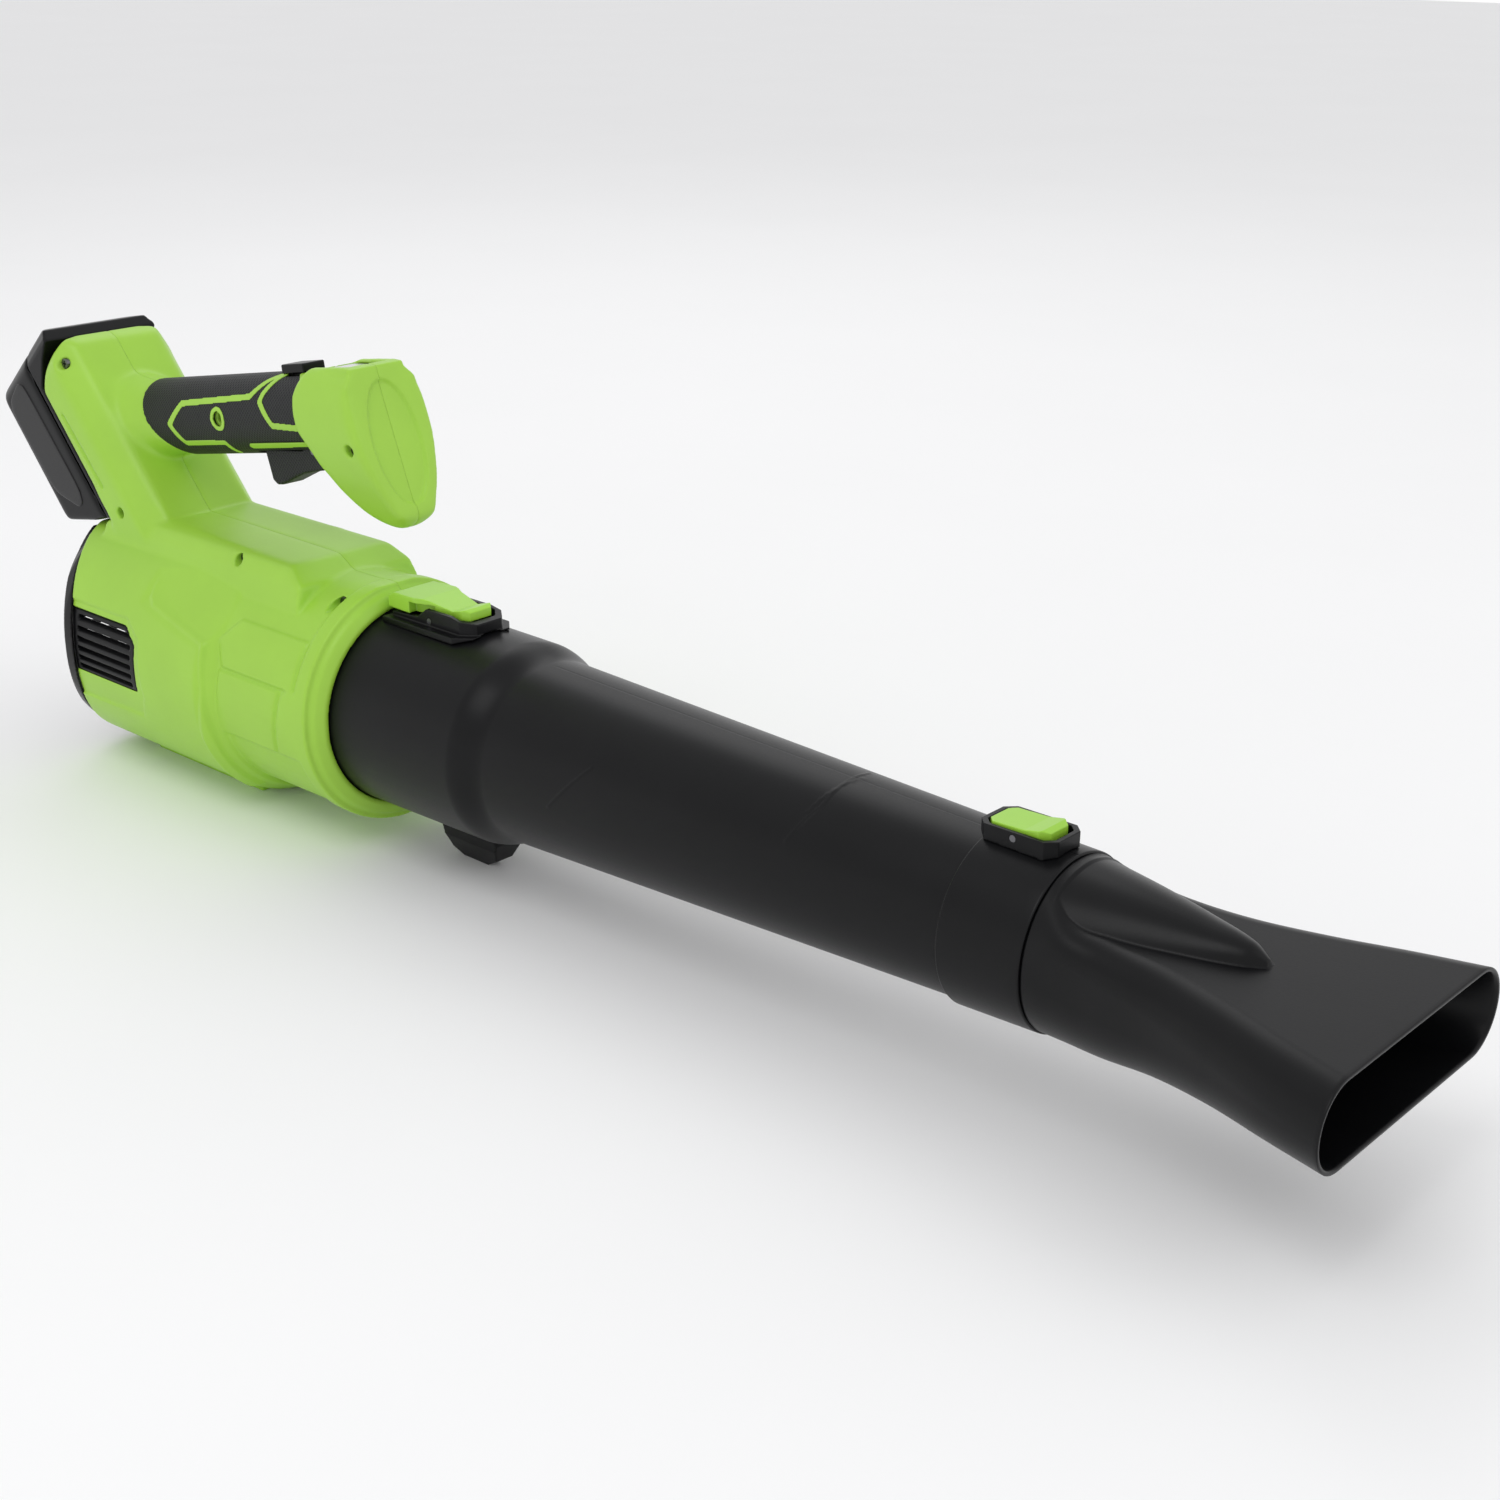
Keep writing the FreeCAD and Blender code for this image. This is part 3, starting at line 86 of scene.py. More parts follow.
def moulded_finish(name, colour, rough, grain=900.0, depth=0.00004, mottle=0.06, coat=0.0, metal=0.0,
                   shine=0.5):
    """Moulded plastic, rubber or metal: mottled colour, uneven gloss, fine grain and shallow sink marks."""
    material, link, add = new_material(name)
    place = add("ShaderNodeTexCoord")
    clouds = add("ShaderNodeTexNoise", Scale=26.0, Detail=5.0, Roughness=0.6)
    fine = add("ShaderNodeTexNoise", Scale=grain, Detail=3.0, Roughness=0.55)
    waves = add("ShaderNodeTexNoise", Scale=34.0, Detail=1.0, Roughness=0.4)
    for texture in (clouds, fine, waves):
        link(place.outputs["Object"], texture.inputs["Vector"])
    tint = add("ShaderNodeValToRGB")
    tint.color_ramp.elements[0].position = 0.32
    tint.color_ramp.elements[1].position = 0.70
    tint.color_ramp.elements[0].color = [max(c * (1 - mottle), 0) for c in colour] + [1]
    tint.color_ramp.elements[1].color = [min(c * (1 + mottle), 1) for c in colour] + [1]
    link(clouds.outputs["Fac"], tint.inputs["Fac"])
    gloss = add("ShaderNodeMapRange", To_Min=rough * 0.86, To_Max=min(rough * 1.16, 1.0))
    link(fine.outputs["Fac"], gloss.inputs["Value"])
    grain_bump = add("ShaderNodeBump", Strength=0.55, Distance=depth)
    wave_bump = add("ShaderNodeBump", Strength=0.25, Distance=depth * 6)
    link(fine.outputs["Fac"], grain_bump.inputs["Height"])
    link(waves.outputs["Fac"], wave_bump.inputs["Height"])
    link(wave_bump.outputs["Normal"], grain_bump.inputs["Normal"])
    shader = add("ShaderNodeBsdfPrincipled", Metallic=metal, IOR=1.49)
    shader.inputs["Specular IOR Level"].default_value = shine
    shader.inputs["Coat Weight"].default_value = coat
    shader.inputs["Coat Roughness"].default_value = 0.22
    link(tint.outputs["Color"], shader.inputs["Base Color"])
    link(gloss.outputs["Result"], shader.inputs["Roughness"])
    link(grain_bump.outputs["Normal"], shader.inputs["Normal"])
    end = add("ShaderNodeOutputMaterial")
    link(shader.outputs["BSDF"], end.inputs["Surface"])
    return material


def grip_finish(name, colour):
    """Soft grip rubber with a fine diagonal hatch."""
    material, link, add = new_material(name)
    place = add("ShaderNodeTexCoord")
    bands = []
    for turn in (45, -45):
        spin = add("ShaderNodeMapping")
        spin.inputs["Rotation"].default_value = (0, math.radians(turn + 10), 0)
        band = add("ShaderNodeTexWave", Scale=190.0, Distortion=0.4, Detail=1.0)
        link(place.outputs["Object"], spin.inputs["Vector"])
        link(spin.outputs["Vector"], band.inputs["Vector"])
        bands.append(band)
    hatch = add("ShaderNodeMath", operation="MULTIPLY")
    link(bands[0].outputs["Fac"], hatch.inputs[0])
    link(bands[1].outputs["Fac"], hatch.inputs[1])
    clouds = add("ShaderNodeTexNoise", Scale=60.0, Detail=4.0)
    link(place.outputs["Object"], clouds.inputs["Vector"])
    tint = add("ShaderNodeValToRGB")
    tint.color_ramp.elements[0].color = [c * 0.75 for c in colour] + [1]
    tint.color_ramp.elements[1].color = [c * 1.3 for c in colour] + [1]
    link(clouds.outputs["Fac"], tint.inputs["Fac"])
    bump = add("ShaderNodeBump", Strength=0.8, Distance=0.0003)
    link(hatch.outputs["Value"], bump.inputs["Height"])
    gloss = add("ShaderNodeMapRange", To_Min=0.5, To_Max=0.72)
    link(hatch.outputs["Value"], gloss.inputs["Value"])
    shader = add("ShaderNodeBsdfPrincipled")
    shader.inputs["Specular IOR Level"].default_value = 0.32
    link(tint.outputs["Color"], shader.inputs["Base Color"])
    link(gloss.outputs["Result"], shader.inputs["Roughness"])
    link(bump.outputs["Normal"], shader.inputs["Normal"])
    end = add("ShaderNodeOutputMaterial")
    link(shader.outputs["BSDF"], end.inputs["Surface"])
    return material


NEAR_BLACK = (0.0040, 0.0041, 0.0047)
GREEN = (0.335, 0.610, 0.052)
BUTTON_GREEN = (0.325, 0.630, 0.046)
FINISH = {
    "green_shell": moulded_finish("green_shell", GREEN, 0.40, grain=1100.0, depth=0.00003, mottle=0.03),
    "green_button": moulded_finish("green_button", BUTTON_GREEN, 0.34, grain=1100.0, depth=0.00002,
                                   mottle=0.03),
    "black_plastic": moulded_finish("black_plastic", NEAR_BLACK, 0.32, grain=1000.0, depth=0.00003,
                                    mottle=0.18, shine=0.20),
    "tube_plastic": moulded_finish("tube_plastic", NEAR_BLACK, 0.33, depth=0.00003, mottle=0.16,
                                   shine=0.20),
    "grip_rubber": grip_finish("grip_rubber", (0.012, 0.0125, 0.014)),
    "seal_rubber": moulded_finish("seal_rubber", (0.012, 0.012, 0.012), 0.7),
    "display_window": moulded_finish("display_window", (0.34, 0.355, 0.37), 0.16, grain=300.0,
                                     depth=0.00001, mottle=0.05, coat=0.6),
    "circuit_board": moulded_finish("circuit_board", (0.02, 0.10, 0.035), 0.45),
    "switch_plastic": moulded_finish("switch_plastic", (0.03, 0.03, 0.035), 0.5),
    "duct_plastic": moulded_finish("duct_plastic", (0.02, 0.02, 0.022), 0.5),
    # steel is painted dark, far below bare steel: its colour is painted shade standing in for the shadow in
    # the screw holes (the cells and other steel parts share it)
    "steel": moulded_finish("steel", (0.16, 0.16, 0.17), 0.30, grain=700.0, depth=0.00002, mottle=0.10,
                            metal=1.0),
    "copper": moulded_finish("copper", (0.60, 0.28, 0.12), 0.35, grain=700.0, depth=0.00002, mottle=0.10,
                             metal=1.0),
    "lead_rubber": moulded_finish("lead_rubber", (0.09, 0.008, 0.006), 0.5),
}
LABEL = moulded_finish("gloss_label", (0.0045, 0.0045, 0.005), 0.22, grain=200.0, depth=0.000005,
                       mottle=0.1, shine=0.35)
SLOT_OF = {row["node"]: row["material_slot"] for row in frame["record"]["subparts"]}


# ------------------------------------------------------------------ mesh helpers

def finished(piece, name, body, slot, nodes=(), material=None):
    """Name a piece, give it its finish and tie it to the frame."""
    piece.name = name
    piece.data.name = name
    piece.data.materials.clear()
    piece.data.materials.append(material or FINISH[slot])
    for face in piece.data.polygons:
        face.material_index = 0
    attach(piece, body)
    if nodes:
        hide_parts(*nodes)
    return piece


def linked(name, mesh):
    """A new object for a mesh, in the scene."""
    piece = bpy.data.objects.new(name, mesh)
    scene.collection.objects.link(piece)
    return piece


def baked(piece):
    """Apply a piece's modifiers."""
    bpy.context.view_layer.update()
    graph = bpy.context.evaluated_depsgraph_get()
    mesh = bpy.data.meshes.new_from_object(piece.evaluated_get(graph))
    piece.modifiers.clear()
    piece.data = mesh
    return piece


def points_of(mesh):
    """Vertex positions as an array, in millimetres."""
    flat = np.empty(len(mesh.vertices) * 3)
    mesh.vertices.foreach_get("co", flat)
    return flat.reshape(-1, 3) / MM


def set_points(mesh, points):
    """Write vertex positions given in millimetres."""
    mesh.vertices.foreach_set("co", (points * MM).ravel())
    mesh.update()


def relaxed(mesh, weight, rounds):
    """Round a mesh off, more where its weight is higher."""
    points = points_of(mesh)
    count = len(points)
    ends = np.empty(len(mesh.edges) * 2, dtype=np.int64)
    mesh.edges.foreach_get("vertices", ends)
    one, two = ends[0::2], ends[1::2]
    degree = np.maximum(np.bincount(ends, minlength=count), 1)[:, None]
    pull = 0.5 * np.asarray(weight(points))[:, None]
    for _ in range(rounds):
        sums = []
        for axis in range(3):
            gained = np.bincount(one, points[two, axis], count)
            sums.append(gained + np.bincount(two, points[one, axis], count))
        total = np.stack(sums, 1)
        points += pull * (total / degree - points)
    set_points(mesh, points)


def ramp(values, low, high):
    """For an array of values: 0 below low, 1 above high, smooth between."""
    t = np.clip((values - low) / (high - low), 0, 1)
    return t * t * (3 - 2 * t)


def moulded(node, voxel, smooth, keep=1.0, shape=None):
    """A copy of a CAD node with the softly rounded edges of a moulding."""
    mesh = frame["nodes"][node].data.copy()
    work = bmesh.new()
    work.from_mesh(mesh)
    bmesh.ops.remove_doubles(work, verts=work.verts, dist=0.000002)
    work.to_mesh(mesh)
    work.free()
    piece = linked(node + "_skin", mesh)
    remesh = piece.modifiers.new("remesh", "REMESH")
    remesh.mode = "VOXEL"
    remesh.voxel_size = voxel * MM
    if smooth:
        soften = piece.modifiers.new("soften", "SMOOTH")
        soften.factor = 0.5
        soften.iterations = smooth
    baked(piece)
    if shape:
        shape(piece.data)
    if keep < 1.0:
        thin = piece.modifiers.new("thin", "DECIMATE")
        thin.ratio = keep
        baked(piece)
    for face in piece.data.polygons:
        face.use_smooth = True
    return piece


def loops_mesh(name, loops, close_rows=False):
    """Quads between successive closed loops of points."""
    count = len(loops[0])
    points = [tuple(c * MM for c in point) for loop in loops for point in loop]
    faces = []
    rows = len(loops) if close_rows else len(loops) - 1
    for row in range(rows):
        following = (row + 1) % len(loops)
        for step in range(count):
            turn = (step + 1) % count
            faces.append((row * count + step, row * count + turn,
                          following * count + turn, following * count + step))
    mesh = bpy.data.meshes.new(name)
    mesh.from_pydata(points, [], faces)
    work = bmesh.new()
    work.from_mesh(mesh)
    bmesh.ops.recalc_face_normals(work, faces=work.faces)
    work.to_mesh(mesh)
    work.free()
    for face in mesh.polygons:
        face.use_smooth = True
    return linked(name, mesh)


def eased(value, low, high):
    """For one value: 0 below low, 1 above high, smooth between."""
    t = min(max((value - low) / (high - low), 0.0), 1.0)
    return t * t * (3 - 2 * t)


def near_line(point, line):
    """Distance from an open line of points."""
    best = FAR
    for (ax, ay), (bx, by) in zip(line, line[1:]):
        dx, dy = bx - ax, by - ay
        t = min(max(((point[0] - ax) * dx + (point[1] - ay) * dy) / (dx * dx + dy * dy), 0), 1)
        best = min(best, math.hypot(point[0] - ax - t * dx, point[1] - ay - t * dy))
    return best


def spaced(low, high, step):
    """Evenly spaced values from low to high."""
    count = max(int(round((high - low) / step)), 1)
    return [low + (high - low) * index / count for index in range(count + 1)]


# ------------------------------------------------------------------ tube

def tube_radius(x):
    """Outside radius of the tube along its length."""
    if x <= 243:
        return 53 - max(x - 157, 0) / 86
    if x <= 264:
        return 52 - 5.5 * eased(x, 243, 264)
    body = 46.5 - 8.5 * (x - 264) / 265
    collar = 40 - (x - 531) / 39
    return body + (collar - body) * eased(x, 528.6, 530.4)


PANEL_LINES = [[(308, -92), (331, -60)], [(446, -62), (454, -34), (454.5, 15)], [(450, -40), (457.5, 4)]]
PANEL_SPAN = (300, 460)      # along the tube
PANEL_LEAN = (-100, 20)      # degrees round it from the top
SEAM_START = 268
TUBE_WALL = 2.4


def tube_ring(x, radius, turns):
    """A round loop of points about the air axis."""
    loop = []
    for turn in turns:
        angle = math.radians(turn)
        loop.append((x, radius * math.sin(angle), AXIS + radius * math.cos(angle)))
    return loop


def tube_skin():
    """The tube with its mould seam, faint panel lines and rolled front lip."""
    stations = spaced(131, 242, 4) + spaced(243, 265, 0.7) + spaced(267, 303, 3) + spaced(304, 457, 0.9)
    stations += spaced(459, 527, 4) + spaced(528, 531.5, 0.35) + spaced(534, 569, 5)
    outer = []
    turns = [index * 360 / 500 for index in range(500)]
    for x in stations:
        loop = []
        for turn in turns:
            radius = tube_radius(x)
            lean = turn - 360 if turn > 180 else turn
            scale = math.radians(1) * radius
            if PANEL_SPAN[0] < x < PANEL_SPAN[1] and PANEL_LEAN[0] < lean < PANEL_LEAN[1]:
                place = (x, lean * scale)
                unrolled = [[(a, b * scale) for a, b in line] for line in PANEL_LINES]
                reach = min(near_line(place, line) for line in unrolled)
                radius += 0.30 * (1 - eased(reach, 0.15, 0.75))
            if x > SEAM_START:
                radius -= 0.16 * (1 - eased(abs(lean) * scale, 0.1, 0.7))
            angle = math.radians(lean)
            loop.append((x, radius * math.sin(angle), AXIS + radius * math.cos(angle)))
        outer.append(loop)

    lip = [(569.6, 38.95), (569.9, 38.7), (570, 38.3), (570, 37.2), (569.8, 36.7)]
    inner = [(568, 36.5), (546, 36.5), (543, 35.8)]
    for x in (500, 440, 380, 320, 268, 264, 260, 254, 248, 243, 200, 160):
        inner.append((x, tube_radius(x) - TUBE_WALL))
    inner.append((131, 50.6))
    rest = [tube_ring(x, radius, turns) for x, radius in lip + inner]
    piece = loops_mesh("blower_tube_skin", outer + rest, True)
    return finished(piece, "blower_tube_skin", "tube", "tube_plastic", ["blower_tube"])


# ------------------------------------------------------------------ nozzle

# distance from the tube's end; half width; top and bottom above the axis; upper and lower corner radius
SECTIONS = [(0.5, 37.9, 37.9, -37.9, 37.2, 37.2), (14.0, 37.4, 24.5, -36.6, 14.0, 33.0),
            (32.0, 38.2, 21.4, -34.6, 13.0, 28.5), (60.0, 42.5, 20.4, -28.5, 15.0, 23.0),
            (90.0, 52.0, 19.8, -23.6, 17.0, 20.5), (120.0, 63.5, 19.4, -20.4, 18.5, 19.2),
            (NOZZLE_LENGTH, 72.0, 19.1, -19.1, 18.8, 18.8)]
# distance from the tube's end; radius; centre above the axis
BUMP = [(5.0, 36.6, 0.4), (32.0, 27.0, 7.2), (58.0, 17.0, 13.6), (78.0, 8.0, 19.0), (87.0, 2.0, 20.0)]


def between(table, distance):
    """Smooth (Catmull-Rom) values from a table keyed by distance."""
    last = len(table) - 1
    index = max(i for i in range(len(table)) if table[i][0] <= max(distance, table[0][0]))
    index = min(index, last - 1)
    a, b = table[index], table[index + 1]
    before, after = table[max(index - 1, 0)], table[min(index + 2, last)]
    span = b[0] - a[0]
    t = (max(distance, a[0]) - a[0]) / span
    values = []
    for column in range(1, len(a)):
        m0 = (b[column] - before[column]) / (b[0] - before[0]) * span
        m1 = (after[column] - a[column]) / (after[0] - a[0]) * span
        values.append((2 * t ** 3 - 3 * t ** 2 + 1) * a[column] + (t ** 3 - 2 * t ** 2 + t) * m0
                      + (3 * t ** 2 - 2 * t ** 3) * b[column] + (t ** 3 - t ** 2) * m1)
    return values


def nozzle_loop(distance, inward):
    """One cross-section of the nozzle, with its bump on top."""
    half, top, bottom, upper, lower = between(SECTIONS, distance)
    half, top, bottom = half - inward, top - inward, bottom + inward
    upper, lower = upper - inward, lower - inward
    points = []
    arc_steps, flat_steps, side_steps = 36, 110, 6
    centres = [(half - upper, top - upper, 90, upper), (half - lower, bottom + lower, 0, lower),
               (lower - half, bottom + lower, -90, lower), (upper - half, top - upper, 180, upper)]
    for index, (across, up, start, corner) in enumerate(centres):
        for step in range(arc_steps):
            angle = math.radians(start - 90 * step / arc_steps)
            points.append((across + corner * math.cos(angle), up + corner * math.sin(angle)))
        angle = math.radians(start - 90)
        here = (across + corner * math.cos(angle), up + corner * math.sin(angle))
        after = centres[(index + 1) % 4]
        turn = math.radians(after[2])
        there = (after[0] + after[3] * math.cos(turn), after[1] + after[3] * math.sin(turn))
        steps = side_steps if index % 2 == 0 else flat_steps
        for step in range(steps):
            t = step / steps
            points.append((here[0] + (there[0] - here[0]) * t, here[1] + (there[1] - here[1]) * t))
    if distance < BUMP[-1][0]:
        radius, centre = between(BUMP, distance)
        radius = max(radius - inward, 0)
        if distance < BUMP[0][0]:
            radius, centre = 37.6 - inward, 0.0
        lifted = []
        for y, z in points:
            if z > 0 and abs(y) < radius:
                z = max(z, centre + math.sqrt(radius * radius - y * y))
            lifted.append((y, z))
        points = lifted
    return [(TUBE_END + distance, y, AXIS + z) for y, z in points]


def nozzle_skin():
    """The fishtail nozzle, inside and out, with a rounded lip at the mouth."""
    outer = [nozzle_loop(distance, 0) for distance in spaced(0.5, 90, 0.7)[:-1] + spaced(90, 147, 1.6)]
    lip = [nozzle_loop(147.35, 0.12), nozzle_loop(NOZZLE_LENGTH, 0.5), nozzle_loop(NOZZLE_LENGTH, 1.5),
           nozzle_loop(147.3, 1.9)]
    inner = [nozzle_loop(146 - 2 * step, 2.0) for step in range(71)]

    def ring(x, radius):
        loop = []
        for _, y, z in nozzle_loop(0.5, 0):
            reach = math.hypot(y, z - AXIS)
            loop.append((x, y * radius / reach, AXIS + (z - AXIS) * radius / reach))
        return loop

    rear = [ring(574, 34.2), ring(545.3, 34.2), ring(545, 34.6), ring(545, 35.8), ring(545.4, 36.2),
            ring(570.4, 36.2), ring(570.4, 37.4)]
    piece = loops_mesh("nozzle_skin", outer + lip + inner + rear, True)
    return finished(piece, "nozzle_skin", "nozzle", "tube_plastic", ["nozzle"])


# ------------------------------------------------------------------ housing details cut into the skin

SCREW_SPOTS = [(-89, 221.7), (-41, 146), (63, 139.5), (136.6, 129.6), (30, 206.8), (149, 210.5)]
SLOT_LINE = ((8.0, 84.0), (9.5, 36.0))   # forward of the mast's rear face, and up the mast
DISH_DEPTH = 1.5
SLOT_DEPTH = 1.4
SEAM_DEPTH = 0.30
RIB_HEIGHT = 1.75
SHELL_ROUNDS = 60


def mast_place(points):
    """Distance in front of the mast's rear face, and distance up the mast."""
    x, z = points[:, 0] - MAST_FOOT[0], points[:, 2] - MAST_FOOT[1]
    return MAST_COS * x + MAST_SIN * z, MAST_COS * z - MAST_SIN * x


def shell_softness(points):
    """How strongly each place on the housing is rounded off."""
    x, z = points[:, 0], points[:, 2]
    mast = ramp(z, 146, 158) * (1 - ramp(x, 12, 24))
    head = ramp(x, 118, 126) * ramp(z, 150, 160) * (1 - ramp(z, 236, 242))
    deck = 0.45 * ramp(z, 126, 134) * (1 - ramp(x, 118, 126))
    weight = np.maximum(np.maximum(mast, head), np.maximum(deck, 0.10))
    for spot_x, spot_z in SCREW_SPOTS:
        weight *= 0.04 + 0.96 * ramp(np.hypot(x - spot_x, z - spot_z), 4.2, 8.0)
    return weight


def dress_shell(mesh):
    """Round the shell, press in the dish, the slots and the parting line, and raise the rib."""
    relaxed(mesh, shell_softness, SHELL_ROUNDS)
    points = points_of(mesh)
    x, y, z = points[:, 0], points[:, 1], points[:, 2]
    off = (x - (FACE_CENTRE[0] - FACE_SLOPE * (z - FACE_CENTRE[1]))) * FACE_COS
    front = (x > 130) & (z > 170) & (z < 248) & (np.abs(off) < 2.2)
    reach = np.hypot(y / 15.5, (z - 212.5) / FACE_COS / 33.0)
    depth = front * (DISH_DEPTH * (1 - ramp(reach, 0.92, 1.0)))
    points[:, 0] -= depth * FACE_COS
    points[:, 2] -= depth * FACE_SIN
    forward, up = mast_place(points)
    (fa, ua), (fb, ub) = SLOT_LINE
    along = np.clip((up - ua) / (ub - ua), 0, 1)
    beside = np.hypot(forward - (fa + (fb - fa) * along), up - (ua + (ub - ua) * along))
    side = np.abs(y) > 36.6
    points[:, 1] -= np.sign(y) * side * SLOT_DEPTH * (1 - ramp(beside, 0.5, 1.3))
    normals = np.empty(len(points) * 3)
    mesh.vertices.foreach_get("normal", normals)
    lift = ridge_lift(points) - SEAM_DEPTH * (1 - ramp(np.abs(y), 0.15, 0.75))
    set_points(mesh, points + normals.reshape(-1, 3) * lift[:, None])


# the rib's outline: x, and degrees from the top
RIDGE = [(2, 10), (2, 17), (6, 44), (8, 56), (13.5, 60), (63, 69), (66, 88), (61, 112), (60, 150), (72, 150),
         (72, 121), (74, 102), (76, 81), (77.6, 69), (70, 60), (39, 49), (33, 30), (33, 10)]


def ridge_lift(points):
    """Height of the zigzag rib that runs round the fan casing."""
    x = points[:, 0]
    lean = np.degrees(np.arctan2(np.abs(points[:, 1]), points[:, 2] - AXIS))
    scale = math.radians(BARREL_RADIUS)
    around = lean * scale
    reach = np.full(len(x), FAR)
    inside = np.zeros(len(x), dtype=bool)
    corners = [(a, b * scale) for a, b in RIDGE]
    for (ax, ay), (bx, by) in zip(corners, corners[1:] + corners[:1]):
        dx, dy = bx - ax, by - ay
        t = np.clip(((x - ax) * dx + (around - ay) * dy) / (dx * dx + dy * dy), 0, 1)
        reach = np.minimum(reach, np.hypot(x - ax - t * dx, around - ay - t * dy))
        if ay != by:
            crosses = ((ay > around) != (by > around)) & (x < ax + (around - ay) * dx / dy)
            inside ^= crosses
    radius = np.hypot(points[:, 1], points[:, 2] - AXIS)
    skin = ramp(radius, 66.5, 68.5) * (1 - ramp(points[:, 2], 118, 124)) * ramp(lean, 34, 42)
    return RIB_HEIGHT * skin * inside * ramp(reach, 0.0, 3.4)


def shell_halves():
    """The two halves of the housing, rounded together and then parted along the middle."""
    whole = bpy.data.meshes.new("housing_halves")
    work = bmesh.new()
    for side in ("right", "left"):
        work.from_mesh(frame["nodes"][side + "_housing_shell"].data)
    bmesh.ops.remove_doubles(work, verts=work.verts, dist=0.000002)
    work.to_mesh(whole)
    work.free()
    piece = linked("housing_halves", whole)
    remesh = piece.modifiers.new("remesh", "REMESH")
    remesh.mode = "VOXEL"
    remesh.voxel_size = 0.8 * MM
    baked(piece)
    dress_shell(piece.data)
    thin = piece.modifiers.new("thin", "DECIMATE")
    thin.ratio = 0.6
    baked(piece)
    for side, sign in (("right", 1), ("left", -1)):
        work = bmesh.new()
        work.from_mesh(piece.data)
        everything = work.verts[:] + work.edges[:] + work.faces[:]
        cut = bmesh.ops.bisect_plane(work, geom=everything, plane_co=(0, -0.00004 * sign, 0),
                                     plane_no=(0, sign, 0), clear_outer=True)
        rim = [edge for edge in cut["geom_cut"] if isinstance(edge, bmesh.types.BMEdge)]
        bmesh.ops.triangle_fill(work, edges=rim, use_beauty=True)
        bmesh.ops.recalc_face_normals(work, faces=work.faces)
        half = bpy.data.meshes.new(side + "_shell_skin")
        work.to_mesh(half)
        work.free()
        for face in half.polygons:
            face.use_smooth = abs(face.normal.y) < 0.999 or abs(face.center.y) > 0.0001
        skin = linked(side + "_shell_skin", half)
        finished(skin, side + "_shell_skin", "housing", "green_shell", [side + "_housing_shell"])
    bpy.data.objects.remove(piece)


def narrow_base(mesh):
    """The fixed half of the pack's case is a little narrower than its cover."""
    relaxed(mesh, lambda points: np.full(len(points), 0.6), 12)
    points = points_of(mesh)
    points[:, 1] -= np.sign(points[:, 1]) * 0.9 * ramp(np.abs(points[:, 1]), 30, 36)
    set_points(mesh, points)


def rounded_cover(mesh):
    """The outer half of the pack's case has generous edges."""
    relaxed(mesh, lambda points: np.full(len(points), 1.0), 90)


# centre lines of the green strips, on the near side
GRIP_LINES = [
    [(74, -7, 235.6), (67, -11, 232), (58, -16, 222.6), (-3, -17, 210), (-14, -18.4, 197), (-5, -15, 187.4),
     (31, -14.6, 193.7), (34, -8, 188)],
    [(77, -6.6, 236.4), (69, -16, 226), (68, -17.4, 221.7), (79, -18, 211), (100, -17.4, 213),
     (104, -18, 225), (101, -14, 235), (92, -6.6, 239)],
    [(54, -13, 196.3), (104, -13, 205.6)],
]


def flattened(point):
    """Place on the grip unrolled: distance along it and distance round it from the side."""
    x, y, z = point
    along = GRIP_COS * x + GRIP_SIN * (z - GRIP_BASE)
    height = GRIP_COS * (z - GRIP_BASE) - GRIP_SIN * x
    return along, GRIP_MEAN * math.atan2(height / GRIP_HALF_HEIGHT, abs(y) / GRIP_HALF_WIDTH)


def grip_point(along, round_it, lift, side):
    """The point of the grip's surface for a place on the unrolled grip."""
    angle = round_it / GRIP_MEAN
    height = (GRIP_HALF_HEIGHT + lift) * math.sin(angle)
    y = side * (GRIP_HALF_WIDTH + lift) * math.cos(angle)
    return GRIP_COS * along - GRIP_SIN * height, y, GRIP_BASE + GRIP_SIN * along + GRIP_COS * height


def grip_inlays():
    """The green strips let into both sides of the soft grip."""
    lines = [[flattened(point) for point in line] for line in GRIP_LINES]
    centre = flattened((31, -18.5, 207))
    step = 0.4
    lift = 0.3
    known = {}
    points, faces = [], []

    def corner(column, row, side):
        key = (column, row, side)
        if key not in known:
            known[key] = len(points)
            points.append([c * MM for c in grip_point(column * step, row * step, lift, side)])
        return known[key]

    for column in range(int(-30 / step), int(108 / step)):
        for row in range(int(-26 / step), int(31 / step)):
            spot = ((column + 0.5) * step, (row + 0.5) * step)
            near = min(near_line(spot, line) for line in lines) < 1.75
            ring = abs(math.dist(spot, centre) - 5.0) < 1.2
            if (near and math.dist(spot, centre) > 3.9) or ring:
                for side in (-1, 1):
                    steps = ((0, 0), (1, 0), (1, 1), (0, 1))
                    faces.append([corner(column + a, row + b, side) for a, b in steps])
    mesh = bpy.data.meshes.new("grip_inlays")
    mesh.from_pydata(points, [], faces)
    relaxed(mesh, lambda where: np.full(len(where), 1.0), 3)
    work = bmesh.new()
    work.from_mesh(mesh)
    bmesh.ops.recalc_face_normals(work, faces=work.faces)
    work.to_mesh(mesh)
    work.free()
    piece = linked("grip_inlays", mesh)
    thick = piece.modifiers.new("thick", "SOLIDIFY")
    thick.thickness = 0.8 * MM
    thick.offset = -1.0
    baked(piece)
    for face in piece.data.polygons:
        face.use_smooth = True
    return finished(piece, "grip_inlays", "housing", "green_shell")


# the panel on the side of the pack: forward of the mast's rear face, and up the mast
LABEL_OUTLINE = [(-37.5, 62), (-37.5, 116), (-33, 121), (-19, 123), (-14.5, 118), (-13.5, 48), (-17, 41),
                 (-22, 41)]
